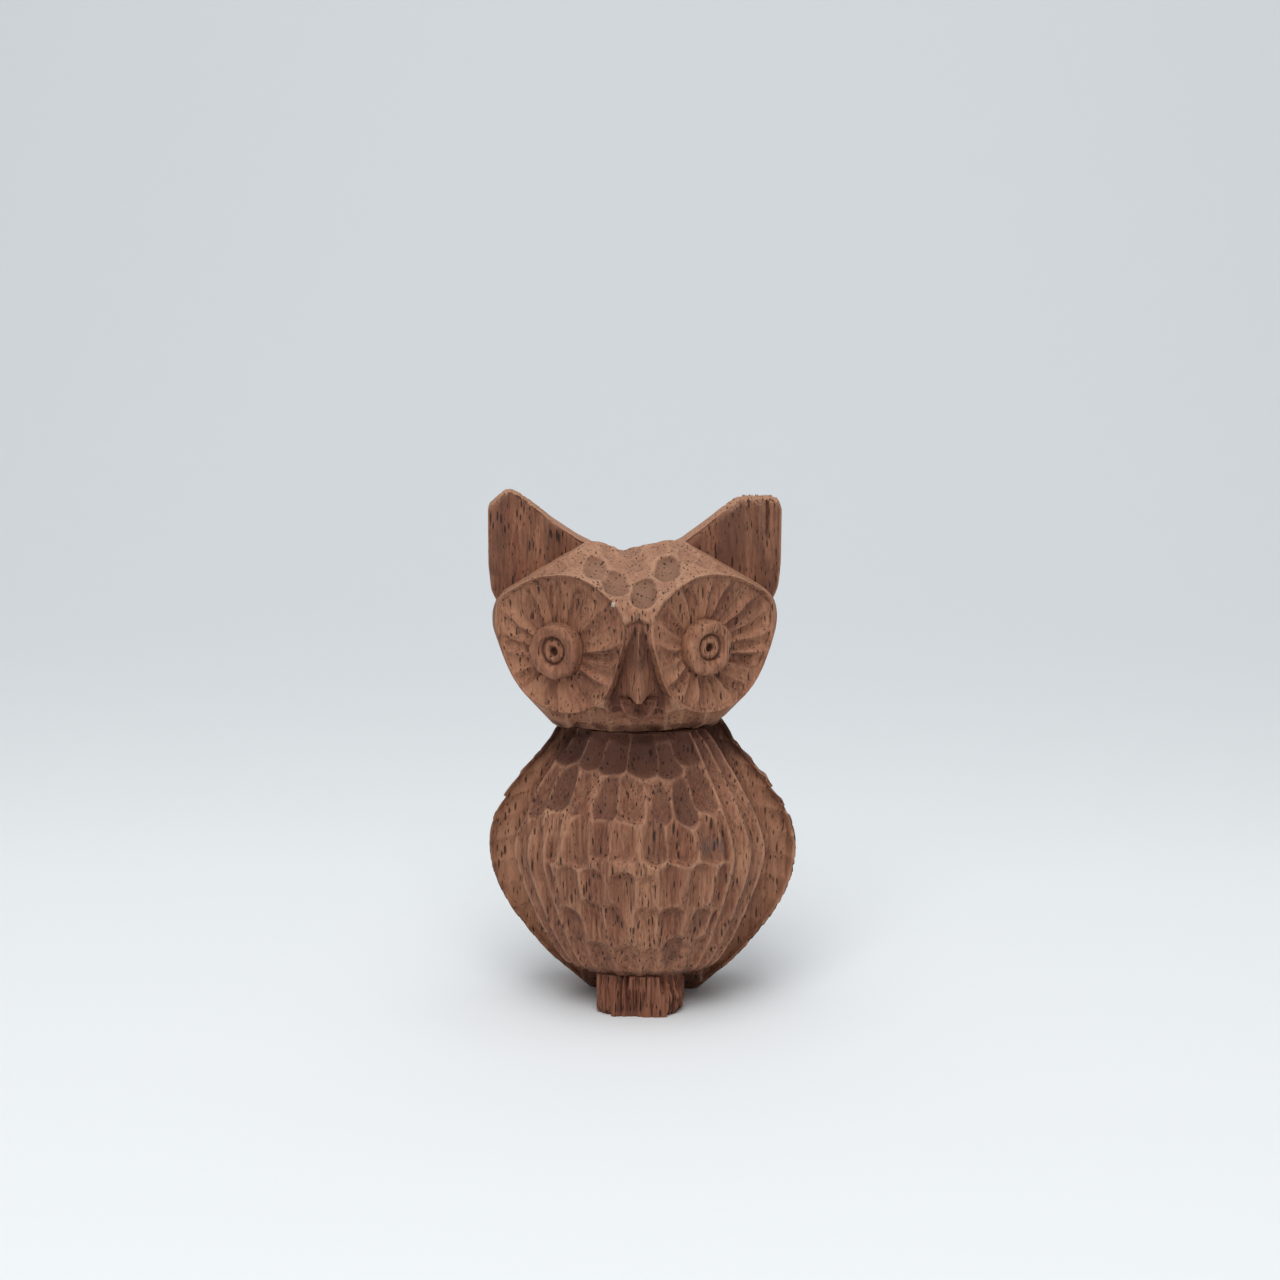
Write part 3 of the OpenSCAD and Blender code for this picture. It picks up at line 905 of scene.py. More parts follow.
    def forehead(self, p: np.ndarray) -> list[Scoop]:
        """Return the strokes down the forehead and over the crest.

        Args:
            p: Places of the uncut head, in its own frame.

        Returns:
            The strokes, each on the head's surface.
        """
        scoops = []
        for i, (x, y, out, length, depth) in enumerate((
            (-1.6, 1.0, -0.2, 9, 1.0), (-4.6, 6.0, 0.1, 5, 0.9), (3.4, 6.0, 0.1, 5, 0.8),
            (-9.0, -10.6, -0.5, 4.2, 1.9), (-4.6, -15.0, -0.55, 4.4, 1.9),
            (1.2, -18.2, -0.8, 5.0, 2.2), (6.7, -11.0, -0.5, 4.2, 1.95),
            (-0.4, -7.0, -0.45, 3.0, 1.1), (11.8, -5.6, -0.4, 4.0, 1.2),
            (-13.9, -6.4, -0.4, 4.0, 1.15), (4.6, -3.0, -0.4, 2.6, 0.8),
            (-5.0, -3.2, -0.4, 2.6, 0.9), (-18.8, -7.4, -0.3, 3.6, 1.0),
            (16.4, -6.6, -0.35, 3.6, 0.9), (21.0, -6.6, -0.2, 3.4, 0.9),
            (-23.6, -5.6, -0.2, 3.4, 0.8), (-10.2, -1.8, -0.3, 3.0, 0.8),
            (9.6, -0.6, -0.3, 3.0, 0.9), (5.6, -14.6, -0.7, 3.6, 0.9),
            (-6.6, -18.2, -0.8, 3.0, 0.8), (6.8, -18.4, -0.8, 3.0, 0.7),
            (-9.6, 6.0, 0.3, 4, 1.0), (9.0, 6.6, 0.3, 4, 1.0), (-15, 5, 0.2, 4, 0.9),
            (15.4, 5, 0.2, 4, 0.9),
        )):
            near = np.hypot(p[:, 0] - x, p[:, 1] - y) < 0.8
            z = float(p[near, 2].max()) if near.any() else self.crest[2]
            tilt = math.hypot(1.0, out)
            scoops.append(Scoop((x, y, z), (0.012 * x, out, 1.0),
                                (0.02 * x, 1.0 / tilt, -out / tilt), length,
                                3.7 if depth > 1.5 else 4.2, depth, 5.0,
                                0.6 - 0.68 * depth + 0.6 * float(uneven(3 * i))))
        return scoops

    def skull(self) -> list[Scoop]:
        """Return the strokes round the back and the underside of the head."""
        scoops = []
        for row in range(self.skull_rows):
            for c in range(self.skull_strokes):
                i = 30 + row * self.skull_strokes + c
                a = math.radians(8 + 23.4 * c + 5 * float(uneven(2 * i + 1)))
                w = 24 + 8.6 * min(row, 2.5) / 2.5
                z = 72 + row * 8.6 + 2 * float(uneven(i))
                scoops.append(Scoop(
                    (math.cos(a) * w, 3 + math.sin(a) * (13 + 1.8 * row), z),
                    (math.cos(a) / w, math.sin(a) / 18, (z - 86) / 700), (0, 0, 1), 5, 7, 1.1,
                    tone=0.9 * float(uneven(3 * i))))
        for c in range(self.under_strokes):
            x = -17.5 + c * 4.4 + 2.0 * float(uneven(c))
            z = 68.6 + 1.6 * float(uneven(3 * c))
            scoops.append(Scoop((x, -13.6 + 0.012 * x * x, z), (0.02 * x, -1, -0.75),
                                (0.2 * float(uneven(5 * c)), -0.6, 1), 5, 4.6, 1.2, 5,
                                -0.2 + 0.6 * float(uneven(7 * c))))
        return scoops

    def make_head(self, wood: bpy.types.Material) -> bpy.types.Object:
        """Carve the head itself.

        Args:
            wood: The finish.

        Returns:
            The finished piece.
        """
        carving = Carving("head")
        self.rough_out(carving)
        carving.fill_evenly(self.grain_size)
        carving.relax(2)
        p = carving.points()
        valley = np.exp(-(((p[:, 0] + 1.6) / 5.5) ** 2)) * smooth(97, 104, p[:, 2])
        p[:, 2] -= self.valley_depth * valley * (1 - smooth(4, 16, p[:, 1]))
        tone = np.zeros(len(p))
        for scoop in self.forehead(p) + self.skull():
            cut = scoop.cut(p)
            fallen = np.linalg.norm(cut - p, axis=1)
            share = smooth(0.05, 0.55, fallen)
            tone += (scoop.tone - tone) * share
            p = cut
        # The bridge between the discs is sunk back and given a darker, redder colour: painted shade
        # in the sunken bridge.
        bridge = (p[:, 1] < -13) * (1 - smooth(5.0, 8.5, np.abs(p[:, 0]))) * (
            1 - smooth(93.5, 94.6, p[:, 2] + 0.35 * np.abs(p[:, 0])))
        p[:, 1] += self.bridge_depth * bridge * smooth(70, 76, p[:, 2])
        tone -= 0.45 * bridge
        p[:, 1] += 0.8 * (p[:, 1] < -6) * (1 - smooth(66.2, 69.5, p[:, 2])) * (
            0.6 + noise(p, (2.2, 9, 2.0), 63))
        rim = np.hypot(p[:, 0] / self.neck_half_width, (p[:, 1] - 1) / self.neck_half_depth)
        lift = np.clip(0.6 + 1.2 * noise(p * (1, 0.3, 0), (2.6, 9, 9), 64), 0, 1.7)
        p[:, 2] += lift * smooth(0.8, 0.95, rim) * (1 - smooth(66, 68.4, p[:, 2]))
        for side in Side:
            p = self.beak_groove(p, side)
            p = self.disc_seat(p, side)
        carving.move_to(p)
        carving.relax(1, 0.35)
        p = self.place(carving.points(), self.head_frame())
        p[:, 2] = np.maximum(p[:, 2], self.neck)
        carving.move_to(p)
        # Under the head the wood is tinted redder, and painted light lifts the shaded underside.
        under = (1 - smooth(71, 74, p[:, 2])) * (p[:, 1] < 0)
        red, tone = 0.35 * under + 0.6 * bridge, tone + 0.8 * under
        return carving.finish(wood, tint=red, tone=tone)

    def beak_groove(self, p: np.ndarray, side: Side) -> np.ndarray:
        """Cut the groove that runs down between the beak and a disc.

        Args:
            p: Places in the head's frame.
            side: Which side of the beak.

        Returns:
            Places after the cut.
        """
        down = np.clip((91.5 - p[:, 2]) / 15, 0, 1)
        centre = side.value * (0.8 + 4.4 * down)
        width = 0.8 + 1.9 * down
        deep = (0.5 + 1.6 * down) * np.clip(1 - np.abs(p[:, 0] - centre) / width, 0, 1)
        fade = smooth(70.5, 74, p[:, 2]) * (1 - smooth(91, 93, p[:, 2])) * (p[:, 1] < -14)
        moved = p.copy()
        moved[:, 1] += deep * fade
        return moved

    def disc_seat(self, p: np.ndarray, side: Side) -> np.ndarray:
        """Sink the head under a disc, so that only the disc shows there.

        Args:
            p: Places in the head's frame.
            side: Which disc.

        Returns:
            Places after the cut.
        """
        frame = self.disc_frame(side)
        q = self.place(p, frame.inverted())
        r = np.hypot(q[:, 0], q[:, 1])
        rim = self.rim(np.degrees(np.arctan2(q[:, 1], q[:, 0])))
        floor = -0.25 - (self.plate + 0.2) * smooth(0.2, 1.6, rim - r)
        under = (r < rim - 0.1) & (q[:, 2] > floor) & (q[:, 2] > -12)
        q[:, 2] = np.where(under, floor, q[:, 2])
        return self.place(q, frame)

    def make_disc(self, side: Side, wood: bpy.types.Material) -> bpy.types.Object:
        """Carve a facial disc with its dish and radial flutes.

        Args:
            side: Which disc.
            wood: The finish.

        Returns:
            The finished piece.
        """
        carving = Carving(f"{side.word}_face_disc")
        at = carving.tube(528, 120)
        degrees, up = at[:, 0] * 360, at[:, 1]
        rim = self.rim(degrees)
        a = np.radians(degrees)
        wall, lip = self.wall, self.lip
        eye = np.array(self.eye_at[side])
        k = 1 - np.clip((up - lip) / (1 - lip), 0, 1)
        outer = np.column_stack((np.cos(a), np.sin(a))) * rim[:, None]
        inner = eye + np.column_stack((np.cos(a), np.sin(a))) * (self.eye_radius - 0.6)
        climb = np.clip((up - wall) / (lip - wall), 0, 1)
        flat = np.where((up < lip)[:, None], outer * (1 - self.lip_width * climb)[:, None],
                        inner + (outer * (1 - self.lip_width) - inner) * k[:, None])
        s = degrees / 360 * self.flutes + 0.12 * noise(
            np.column_stack((flat, a * 0)), (4, 4, 4), 11)
        i = np.floor(s)
        u = 2 * (s - i) - 1
        strength = smooth(0.0, 0.22, k) * (1 - 0.5 * smooth(0.7, 1.0, k))
        flute = self.flute_depth * np.cos(np.pi / 2 * u) ** 1.4 * strength * (
            1 + 0.9 * uneven(i * 3 + side.value))
        moat = self.moat_depth * np.exp(-((k / 0.09) ** 2))
        top = np.cos(np.radians(degrees - 85))
        recess = 0.35 + 0.55 * smooth(0.0, 0.9, top)
        bulge = 0.7 * np.exp(-(((degrees - 188) / 42) ** 2)) * np.sin(np.pi * k) ** 1.5
        z = -(recess + 0.8 * self.dish * (1 - k * k) * (1 - 0.4 * k) + flute + moat - bulge)
        edge = -0.02 - 0.12 * np.abs(noise(np.column_stack((flat, a * 0)), (1.6, 1.6, 1), 21))
        z_lip = edge + (-(recess + 0.3 * (1 - u * u) * 0.4) - edge) * climb**1.5
        z = np.where(up < wall, -self.plate + (self.plate + edge) * up / wall,
                     np.where(up < lip, z_lip, z))
        z = np.maximum(z, -self.plate + 0.25 * (up > lip))
        p = np.column_stack((flat, z))
        p[up == 0, 2] = -self.plate
        p = self.place(p, self.head_frame() @ self.disc_frame(side))
        carving.move_to(p)
        bmesh.ops.recalc_face_normals(carving.bm, faces=carving.bm.faces)
        carving.relax(1, 0.3)
        # Painted light lifts the whole disc against the shade in its dish, and painted shade
        # darkens the moat round the eye; each flute also has its own tone.
        tone = 0.25 + 1.9 * uneven(i * 4 + side.value) * strength - 0.9 * moat
        return carving.finish(wood, tone=tone)

    def make_eye(self, side: Side, wood: bpy.types.Material) -> bpy.types.Object:
        """Carve a raised eye with its ring and its drilled pupil.

        Args:
            side: Which eye.
            wood: The finish.

        Returns:
            The finished piece.
        """
        carving = Carving(f"{side.word}_eye")
        at = carving.tube(200, 150)
        a, up = at[:, 0] * 2 * math.pi, at[:, 1]
        hand = 1 if side is Side.RIGHT else 0.9
        radius = profile(self.ring_radius, up)
        height = profile(self.ring_height, up)
        ring = np.column_stack((np.cos(a) * radius, np.sin(a) * radius, up * 0))
        wobble = noise(ring, (2.6, 2.6, 2.6), 31 + side.value)
        radius = radius * (1 + 0.035 * wobble * (up > 0.1)) * np.where(
            up > 0.5, 1 + 0.10 * hand * np.cos(a - 0.6), 1)
        height = height + 0.12 * noise(ring, (1.3, 1.3, 1.3), 37) * (up > 0.22) - 0.12 * (
            up > 0.22)
        x, y = np.cos(a) * radius, np.sin(a) * radius
        p = np.column_stack((x + self.eye_at[side][0], y + self.eye_at[side][1], height))
        carving.move_to(self.place(p, self.head_frame() @ self.disc_frame(side)))
        bmesh.ops.recalc_face_normals(carving.bm, faces=carving.bm.faces)
        # Painted shade in the groove inside the ring and in the drilled pupil.
        tone = 0.3 - 1.6 * np.exp(-(((up - 0.61) / 0.05) ** 2)) - 1.5 * smooth(0.82, 0.9, up)
        return carving.finish(wood, tone=tone)

    def make_beak(self, frame: Frame, wood: bpy.types.Material) -> bpy.types.Object:
        """Carve the ridged beak, which ends in a small drop.

        Args:
            wood: The finish.

        Returns:
            The finished piece.
        """
        carving = Carving("beak")
        carving.from_node(frame["nodes"]["beak"])
        carving.fill_evenly(0.22)
        carving.relax(3)
        p = self.place(carving.points(), self.head_frame().inverted())
        p[:, 0] *= self.beak_width
        low = 1 - smooth(76, 83, p[:, 2])
        side_hollow = 0.45 * np.exp(-(((np.abs(p[:, 0]) - 1.9) / 0.8) ** 2)) * low
        p[:, 1] += side_hollow * (p[:, 1] < -17.5)
        carving.move_to(self.place(p, self.head_frame()))
        tone = 0.4 - 1.2 * smooth(78.5, 85, p[:, 2])
        return carving.finish(wood, tint=0.5, tone=tone)

    def make_chin(self, frame: Frame, wood: bpy.types.Material) -> bpy.types.Object:
        """Carve the small lower bill, hollowed and torn under the beak.

        Args:
            wood: The finish.

        Returns:
            The finished piece.
        """
        carving = Carving("chin")
        carving.from_node(frame["nodes"]["chin"])
        carving.fill_evenly(0.2)
        carving.relax(3)
        p = self.place(carving.points(), self.head_frame().inverted())
        front = smooth(-19, -21.5, p[:, 1])
        away = np.hypot(p[:, 0] / 3.6, (p[:, 2] - 75.6) / 3.9)
        scraped = 0.35 * noise(p, (0.45, 3.0, 4.0), 41)
        p[:, 1] += front * ((1.6 + 1.6 * scraped) * (1 - smooth(0.5, 1.15, away)))
        carving.move_to(self.place(p, self.head_frame()))
        return carving.finish(wood, tint=0.9, tone=-0.9)

    def make_ear(
        self, side: Side, frame: Frame, wood: bpy.types.Material,
    ) -> bpy.types.Object:
        """Carve an ear: a hollowed front, worn edges and a torn tip.

        Args:
            side: Which ear.
            wood: The finish.

        Returns:
            The finished piece.
        """
        carving = Carving(f"{side.word}_ear")
        carving.from_node(frame["nodes"][carving.name])
        carving.soften(1.5, 20, 2)
        carving.fill_evenly(0.3)
        carving.relax(2)
        p = self.place(carving.points(), self.head_frame().inverted())
        n = carving.normals()
        x, z = np.abs(p[:, 0]), p[:, 2]
        facing = smooth(0.3, 0.9, -n[:, 1])
        plane = 0.35 * noise(p, (2.2, 5, 16), 51) + 0.10 * noise(p, (0.5, 2, 7), 52)
        p[:, 1] += facing * (0.45 + plane)
        p[:, 1] += (1 - facing) * 0.25 * noise(p, (2.5, 2.5, 5), 53)
        top = smooth(114.5, 118.5, z)
        torn = np.abs(noise(p, (0.5, 0.5, 3.5), 55)) + 0.5 * np.abs(noise(p, (0.25, 0.25, 2), 56))
        p[:, 2] -= top * torn * (1.6 if side is Side.LEFT else 0.9)
        if side is Side.LEFT:
            split = np.exp(-(((x - 30.4) / 0.28) ** 2)) * smooth(107, 111, z)
            p[:, 1] += 1.1 * split * facing
        carving.move_to(self.place(p, self.head_frame()))
        tone = 0.75 - 1.3 * facing + 1.8 * plane - 0.25 * facing * (side is Side.LEFT)
        return carving.finish(wood, tint=0.25 * facing, tone=tone)

    def make(self, frame: Frame, wood: bpy.types.Material) -> Iterator[bpy.types.Object]:
        """Carve the head's pieces one after another.

        Args:
            wood: The finish.

        Yields:
            Each finished piece.
        """
        yield self.make_head(wood)
        for side in Side:
            yield self.make_disc(side, wood)
            yield self.make_eye(side, wood)
            yield self.make_ear(side, frame, wood)
        yield self.make_beak(frame, wood)
        yield self.make_chin(frame, wood)


# ---------------------------------------------------------------- finish


class Graph:
    """A material's node tree, with short ways to add and join its nodes."""

    def __init__(self, name: str) -> None:
        """Start a material.

        Args:
            name: The material's name.
        """
        self.material = bpy.data.materials.new(name)
        self.material.use_nodes = True
        self.tree = self.material.node_tree
        self.tree.nodes.clear()

    def add(self, kind: str, **inputs: Value | Coloured | str | bool) -> bpy.types.Node:
        """Add a node.

        Args:
            kind: The node's type.
            **inputs: Its settings, and its sockets by name with spaces as underscores.

        Returns:
            The node.
        """
        node = self.tree.nodes.new(kind)
        for key, value in inputs.items():
            if hasattr(node, key):
                setattr(node, key, value)
                continue
            socket = node.inputs[int(key[1:])] if key[0] == "i" and key[1:].isdigit() else (
                node.inputs[key.replace("_", " ")])
            if isinstance(value, Socket):
                self.tree.links.new(value, socket)
            else:
                socket.default_value = value
        return node

    def math(self, operation: str, a: Value, b: Value = 0.0, clamp: bool = False) -> Socket:
        """Add a sum and return its output.

        Args:
            operation: The Math node's operation.
            a: First value or socket.
            b: Second value or socket.
            clamp: Whether to keep the result between 0 and 1.

        Returns:
            The output socket.
        """
        node = self.add("ShaderNodeMath", operation=operation, use_clamp=clamp, i0=a, i1=b)
        return node.outputs[0]

    def ease(
        self, value: Socket, low: float, high: float, to0: float = 0.0, to1: float = 1.0,
    ) -> Socket:
        """Ease a value from one range to another and return its output.

        Args:
            value: The socket to read.
            low: Where the result is to0.
            high: Where the result is to1.
            to0: First result.
            to1: Last result.

        Returns:
            The output socket.
        """
        node = self.add("ShaderNodeMapRange", interpolation_type="SMOOTHSTEP", i0=value, i1=low,
                        i2=high, i3=to0, i4=to1)
        return node.outputs[0]

    def blend(self, factor: Value, a: Coloured, b: Coloured) -> Socket:
        """Mix two colours and return the output.

        Args:
            factor: How much of the second.
            a: First colour or socket.
            b: Second colour or socket.

        Returns:
            The output socket.
        """
        node = self.add("ShaderNodeMix", data_type="RGBA")
        for socket, value in ((node.inputs[0], factor), (node.inputs[6], a), (node.inputs[7], b)):
            if isinstance(value, Socket):
                self.tree.links.new(value, socket)
            else:
                socket.default_value = value if socket == node.inputs[0] else (*value, 1.0)
        return node.outputs[2]

    def stretched(self, source: Socket, scale: Triple, shift: Triple = (0, 0, 0)) -> Socket:
        """Scale coordinates and return the output.

        Args:
            source: The coordinates.
            scale: Factor for each axis.
            shift: Where to move them, after scaling.

        Returns:
            The output socket.
        """
        return self.add("ShaderNodeMapping", Vector=source, Location=shift, Scale=scale).outputs[0]

    def noise(
        self, source: Socket, scale: Triple, detail: float, roughness: float,
    ) -> bpy.types.Node:
        """Add a noise texture in stretched coordinates.

        Args:
            source: The coordinates in millimetres.
            scale: Waves per millimetre along each axis.
            detail: The number of finer layers.
            roughness: How strong each finer layer is.

        Returns:
            The node.
        """
        return self.add("ShaderNodeTexNoise", Vector=self.stretched(source, scale), Scale=1.0,
                        Detail=detail, Roughness=roughness)

    def attribute(self, name: str) -> Socket:
        """Read one of a carving's vertex attributes."""
        return self.add("ShaderNodeAttribute", attribute_name=name).outputs["Fac"]

    def spot(self, mm: Socket, place: Triple, mottle: Socket, uneven_by: float) -> Socket:
        """Measure how far a point is from a spot whose border is uneven.

        Args:
            mm: Coordinates in millimetres.
            place: The spot's middle.
            mottle: The noise that shifts the border.
            uneven_by: How far it shifts.

        Returns:
            The output socket.
        """
        far = self.add("ShaderNodeVectorMath", operation="DISTANCE", i0=mm, i1=place).outputs[1]
        shift = self.math("MULTIPLY", self.math("SUBTRACT", mottle, 0.5), uneven_by)
        return self.math("ADD", far, shift)

    def close(self, shader: bpy.types.Node) -> bpy.types.Material:
        """Join a shader to the material's output and return the material."""
        out = self.add("ShaderNodeOutputMaterial")
        self.tree.links.new(shader.outputs[0], out.inputs[0])
        return self.material


@dataclass(frozen=True)
class OpenPoredWood:
    """Bare hardwood whose grain runs up through the whole block, with long open vessels."""

    name: str = "open_pored_wood"
    dark: Triple = (0.085, 0.031, 0.019)
    mid: Triple = (0.27, 0.112, 0.063)
    light: Triple = (0.425, 0.204, 0.116)
    # Pale colour of worn ridges, also used for the painted highlight on upward-facing surfaces.
    worn_and_lit: Triple = (0.52, 0.30, 0.19)
    red: Triple = (0.185, 0.056, 0.030)
    pore: Triple = (0.022, 0.010, 0.008)
    grime: Triple = (0.085, 0.080, 0.085)
    bare: Triple = (0.66, 0.57, 0.48)
    bump: float = 0.0004
    chip: Spot = (-5.4, -20.2, 97.3, 0.75)
    stains: tuple[Spot, ...] = (
        (6.0, -10.0, 105.5, 2.6), (13.6, -8.0, 105.8, 1.8), (-17.5, -17.0, 51.0, 2.4),
        (9.8, -21.5, 56.6, 2.0), (17.2, -19.0, 41.5, 2.8), (10.2, -23.5, 39.6, 2.0),
    )

    def vessels(
        self, g: Graph, grain: Socket, cell: float, run: float, seed: float, size: float,
    ) -> Socket:
        """Add one scatter of open vessels, long along the grain.

        Args:
            g: The graph.
            grain: Coordinates in millimetres.
            cell: Spacing across the grain.
            run: Spacing along the grain.
            seed: Moves the scatter.
            size: A vessel's half-width, as a share of the spacing.

        Returns:
            A socket that is 1 in a vessel.
        """
        at = g.stretched(grain, (1 / cell, 1 / cell, 1 / run), (seed, seed * 1.7, seed * 2.3))
        cells = g.add("ShaderNodeTexVoronoi", voronoi_dimensions="3D", feature="F1", Vector=at,
                      Scale=1.0, Randomness=1.0)
        pick = g.add("ShaderNodeSeparateColor", i0=cells.outputs["Color"])
        reach = g.math("MULTIPLY", g.math("ADD", 0.45, pick.outputs[0]), size)
        gap = g.math("SUBTRACT", reach, cells.outputs["Distance"])
        return g.math("MULTIPLY", gap, 9.0, clamp=True)

    def make(self) -> bpy.types.Material:
        """Build the material.

        Returns:
            The material.
        """
        g = Graph(self.name)
        where = g.add("ShaderNodeTexCoord").outputs["Object"]
        mm = g.stretched(where, (1000, 1000, 1000))
        wander = g.noise(mm, (0.11, 0.11, 0.028), 2.0, 0.5)
        bent = g.add("ShaderNodeVectorMath", operation="MULTIPLY_ADD", i0=wander.outputs["Color"],
                     i1=(2.2, 2.2, 0.0), i2=mm).outputs[0]

        broad = g.noise(bent, (0.16, 0.16, 0.03), 3.0, 0.55).outputs[0]
        streak = g.noise(bent, (1.5, 1.5, 0.09), 3.0, 0.6).outputs[0]
        fibre = g.noise(bent, (6.5, 6.5, 0.45), 2.0, 0.6).outputs[0]
        mottle = g.noise(mm, (0.5, 0.5, 0.35), 4.0, 0.65).outputs[0]

        colour = g.blend(g.ease(broad, 0.34, 0.66), self.mid, self.light)
        colour = g.blend(g.ease(streak, 0.42, 0.72, 0.0, 0.75), colour, self.dark)
        colour = g.blend(g.ease(streak, 0.50, 0.30, 0.0, 0.55), colour, self.light)
        colour = g.blend(g.ease(fibre, 0.52, 0.68, 0.0, 0.5), colour, self.dark)
        colour = g.blend(g.ease(fibre, 0.47, 0.32, 0.0, 0.35), colour, self.light)
        colour = g.blend(g.ease(mottle, 0.42, 0.68, 0.0, 0.50), colour, self.red)

        fine, wide, tint = g.attribute("fine"), g.attribute("broad"), g.attribute("tint")
        colour = g.blend(g.math("MULTIPLY", tint, 0.6), colour, self.red)
        patchy = g.math("MULTIPLY", g.math("SUBTRACT", mottle, 0.5), 1.6)
        tone = g.math("ADD", g.attribute("tone"), patchy)
        colour = g.blend(g.ease(tone, 0.0, 1.2, 0.0, 0.6), colour, self.light)
        colour = g.blend(g.ease(tone, 0.0, -1.2, 0.0, 0.75), colour, self.dark)

        rough = g.math("ADD", g.math("MULTIPLY", mottle, 0.6), g.math("MULTIPLY", fibre, 0.4))
        ridge = g.math("ADD", g.ease(fine, 0.01, 0.12, 0.0, 0.22), g.ease(wide, 0.0, 0.36),
                       clamp=True)
        ridge = g.math("MULTIPLY", ridge, g.ease(rough, 0.40, 0.58))
        ridge = g.math("MULTIPLY", ridge, g.ease(tint, 0.0, 1.2, 1.0, 0.35))
        colour = g.blend(g.math("MULTIPLY", ridge, 0.5), colour, self.worn_and_lit)
        # Painted shade: hollows and deep cuts are blended towards the dark colour.
        hollow = g.math("ADD", g.ease(fine, -0.01, -0.10, 0.0, 0.6), g.ease(wide, 0.0, -0.40),
                        clamp=True)
        colour = g.blend(g.math("MULTIPLY", hollow, 0.7), colour, self.dark)

        top = g.add("ShaderNodeSeparateXYZ", i0=mm).outputs["Z"]
        facing = g.add("ShaderNodeSeparateXYZ", i0=g.add("ShaderNodeNewGeometry").outputs["Normal"])
        upward = g.ease(facing.outputs["Z"], 0.15, 0.8)
        # Painted highlight: surfaces that face up, round the head, are blended towards the pale
        # colour as if lit from above.
        painted_top_light = g.math("MULTIPLY", g.ease(top, 84.0, 104.0), upward)
        colour = g.blend(g.math("MULTIPLY", painted_top_light, 0.33), colour, self.worn_and_lit)
        # Painted shade under the head: the breast's top and the neck, most of all in their hollows,
        # are blended towards the dark colour.
        neck = g.math("MULTIPLY", g.ease(top, 52.0, 63.0), g.ease(top, 69.0, 66.2))
        neck = g.math("MULTIPLY", neck, g.ease(wide, 0.25, -0.12, 0.35, 0.9))
        colour = g.blend(neck, colour, self.dark)

        pores = g.math("MAXIMUM", self.vessels(g, bent, 0.85, 5.5, 3.1, 0.21),
                       self.vessels(g, bent, 1.25, 8.0, 8.7, 0.17))
        pores = g.math("MAXIMUM", pores, self.vessels(g, bent, 0.6, 3.0, 14.3, 0.16))
        colour = g.blend(g.math("MULTIPLY", pores, 0.85), colour, self.pore)

        *place, r = self.chip
        away = g.spot(mm, place, mottle, 3.0)
        colour = g.blend(g.ease(away, r, r * 0.5, 0.0, 0.8), colour, self.bare)
        for *place, r in self.stains:
            away = g.spot(mm, place, mottle, 7.0)
            colour = g.blend(g.ease(away, r, r * 0.25, 0.0, 0.45), colour, self.grime)

        relief = g.math("SUBTRACT", g.math("MULTIPLY", fibre, 0.35), g.math("MULTIPLY", pores, 0.9))
        relief = g.math("ADD", relief, g.math("MULTIPLY", streak, 0.35))
        relief = g.math("ADD", relief, g.math("MULTIPLY", mottle, 0.25))
        bump = g.add("ShaderNodeBump", Strength=0.85, Distance=self.bump, Height=relief)
        shine = g.ease(ridge, 0.0, 1.0, 0.74, 0.60)
        shader = g.add("ShaderNodeBsdfPrincipled", Base_Color=colour, Roughness=shine,
                       Normal=bump.outputs[0])
        shader.inputs["Specular IOR Level"].default_value = 0.32
        return g.close(shader)


# ---------------------------------------------------------------- studio


@dataclass(frozen=True)
class Paper:
    """Matt paper, pale under the owl and greyer behind it, where the grey is painted shade for the
    dimmer backdrop.
    """

    near: Triple = (0.82, 0.85, 0.868)
    far: Triple = (0.68, 0.712, 0.735)
    fade: tuple[float, float] = (0.09, 0.36)
    roughness: float = 0.9

    def make(self) -> bpy.types.Material:
        """Build the material.

        Returns:
            The material.
        """
        g = Graph("paper")
        where = g.add("ShaderNodeTexCoord").outputs["Object"]
        along = g.add("ShaderNodeSeparateXYZ", i0=where).outputs["Y"]
        # Painted shade: the paper fades from pale to grey further back, in place of the backdrop's
        # dimmer light.
        tone = g.blend(g.ease(along, *self.fade), self.near, self.far)
        return g.close(g.add("ShaderNodeBsdfPrincipled", Base_Color=tone,
                             Roughness=self.roughness))


@dataclass(frozen=True)
class Lamp:
    """A square soft lamp.

    Its place and aim are in metres, size is the length of its side, and power is in watts.
    """

    name: str
    place: Triple
    aim: Triple
    power: float
    size: float = 0.8

    def hang(self) -> None:
        """Put the lamp in the scene."""
        data = bpy.data.lights.new(self.name, "AREA")
        data.size, data.energy = self.size, self.power
        lamp = bpy.data.objects.new(self.name, data)
        lamp.location = self.place
        aim = Vector(self.aim) - Vector(self.place)
        lamp.rotation_euler = aim.to_track_quat("-Z", "Y").to_euler()
        bpy.context.scene.collection.objects.link(lamp)


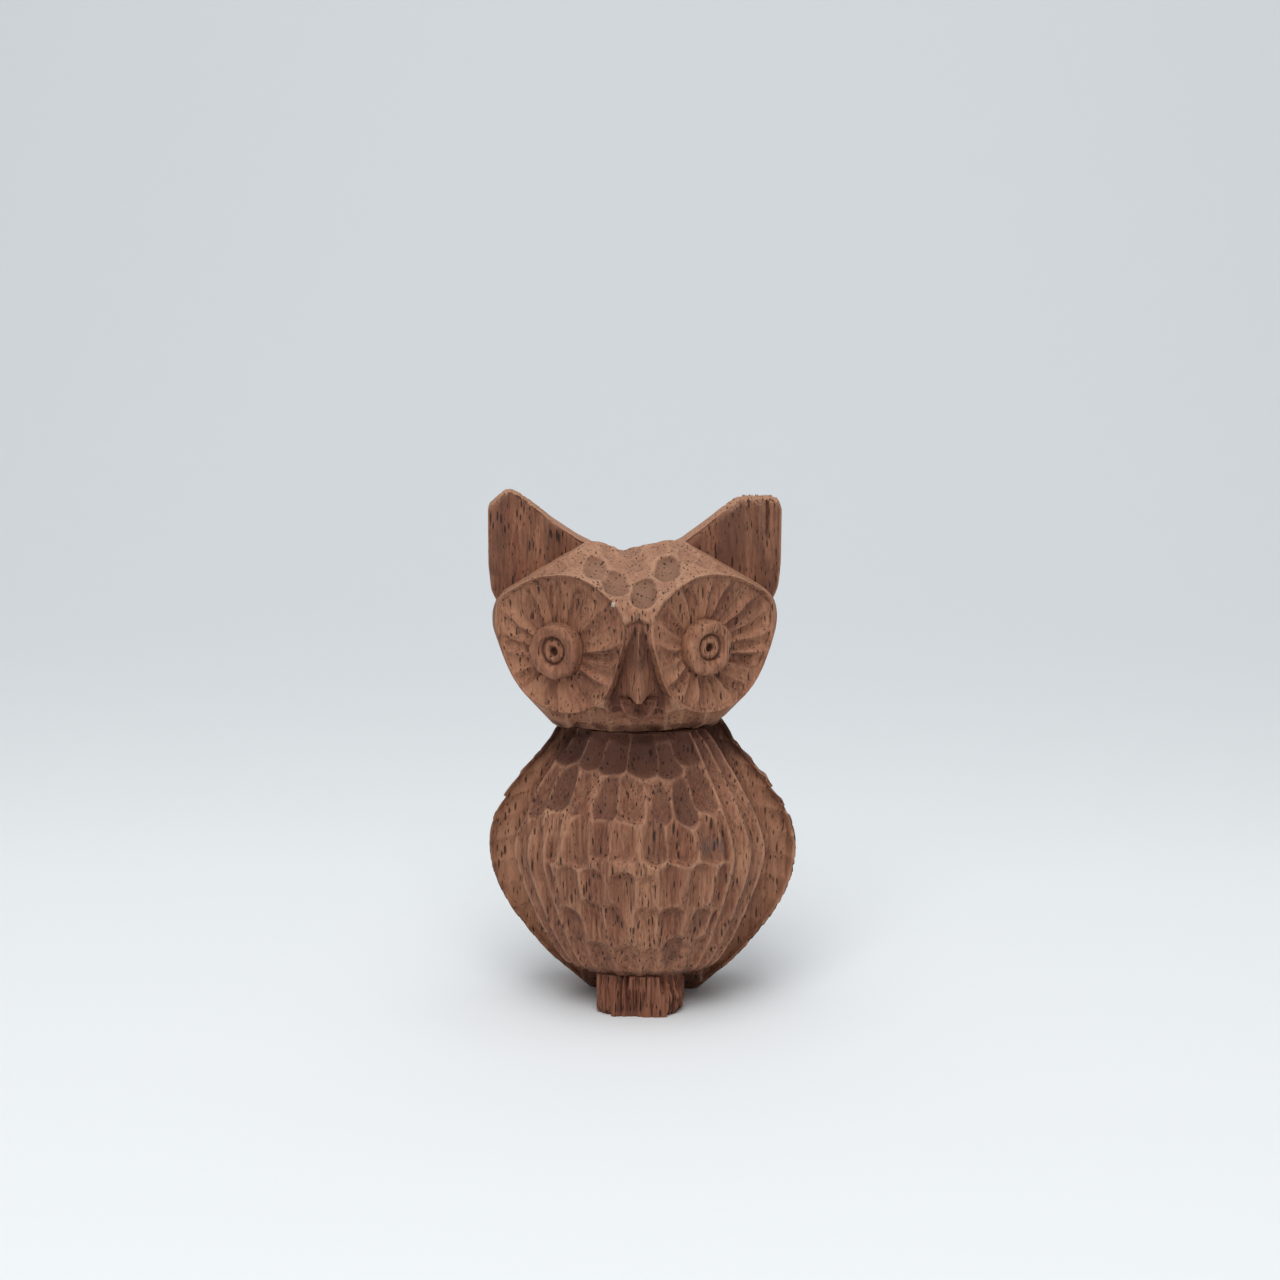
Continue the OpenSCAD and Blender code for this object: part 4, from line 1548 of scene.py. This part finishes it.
@dataclass(frozen=True)
class Studio:
    """A pale sweep of paper, soft lamps and the camera."""

    paper: Paper = Paper()
    lamps: tuple[Lamp, ...] = (
        Lamp("overhead", (0.0, -0.1, 1.2), (0.0, 0.02, 0.05), 5.0),
        Lamp("front", (-0.05, -0.85, 1.1), (0.0, 0.0, 0.06), 10.5),
    )
    distance: float = 0.695
    azimuth: float = 3.0
    elevation: float = 11.0
    lens: float = 85.0
    sensor: float = 36.0
    target: Triple = (-0.0005, 0.0, 0.0854)
    sweep_start: float = 0.16
    sweep_radius: float = 0.6
    sweep_length: float = 4.2
    sweep_front: float = 1.4
    sweep_half_width: float = 3.0
    sky: float = 0.32
    sky_colour: Triple = (0.88, 0.89, 0.90)

    def make_paper(self) -> None:
        """Lay the paper: flat under the owl and curved up behind it."""
        bm = bmesh.new()
        bmesh.ops.create_grid(bm, x_segments=2, y_segments=160, size=1.0)
        for v in bm.verts:
            along = (v.co.y + 1) / 2 * self.sweep_length - self.sweep_front
            x = v.co.x * self.sweep_half_width
            turn = min(max((along - self.sweep_start) / self.sweep_radius, 0.0), math.pi / 2)
            rise = max(along - self.sweep_start - self.sweep_radius * math.pi / 2, 0.0)
            y = min(along, self.sweep_start) + self.sweep_radius * math.sin(turn)
            v.co = (x, y, self.sweep_radius * (1 - math.cos(turn)) + rise)
        mesh = bpy.data.meshes.new("paper")
        bm.to_mesh(mesh)
        bm.free()
        mesh.shade_smooth()
        mesh.materials.append(self.paper.make())
        paper = bpy.data.objects.new("paper", mesh)
        bpy.context.scene.collection.objects.link(paper)

    def make_camera(self) -> None:
        """Stand the camera at the owl's front, a little above it."""
        data = bpy.data.cameras.new("camera")
        data.lens, data.sensor_width = self.lens, self.sensor
        data.clip_start, data.clip_end = 0.01, 20.0
        camera = bpy.data.objects.new("camera", data)
        az, el = math.radians(self.azimuth), math.radians(self.elevation)
        back = Vector((math.sin(az) * math.cos(el), -math.cos(az) * math.cos(el), math.sin(el)))
        camera.location = Vector(self.target) + back * self.distance
        camera.rotation_euler = (-back).to_track_quat("-Z", "Y").to_euler()
        bpy.context.scene.collection.objects.link(camera)
        bpy.context.scene.camera = camera

    def make(self) -> None:
        """Set up the paper, the light and the camera."""
        self.make_paper()
        self.make_camera()
        for lamp in self.lamps:
            lamp.hang()
        world = bpy.data.worlds.new("studio")
        world.use_nodes = True
        background = world.node_tree.nodes["Background"]
        background.inputs[0].default_value = (*self.sky_colour, 1.0)
        background.inputs[1].default_value = self.sky
        bpy.context.scene.world = world
        bpy.context.scene.view_settings.view_transform = "Standard"


def main() -> None:
    """Carve the owl piece by piece, then set up the studio."""
    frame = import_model()
    wood = OpenPoredWood().make()
    for piece in chain(Foot().make(wood), Body().make(wood), Head().make(frame, wood)):
        LOG.info("%s: %d faces", piece.name, len(piece.data.polygons))
    Studio().make()
    LOG.info("studio: paper, lamps and camera are set up")


if __name__ == "__main__":
    logging.basicConfig(level=logging.INFO, format="%(name)s %(message)s")
    main()
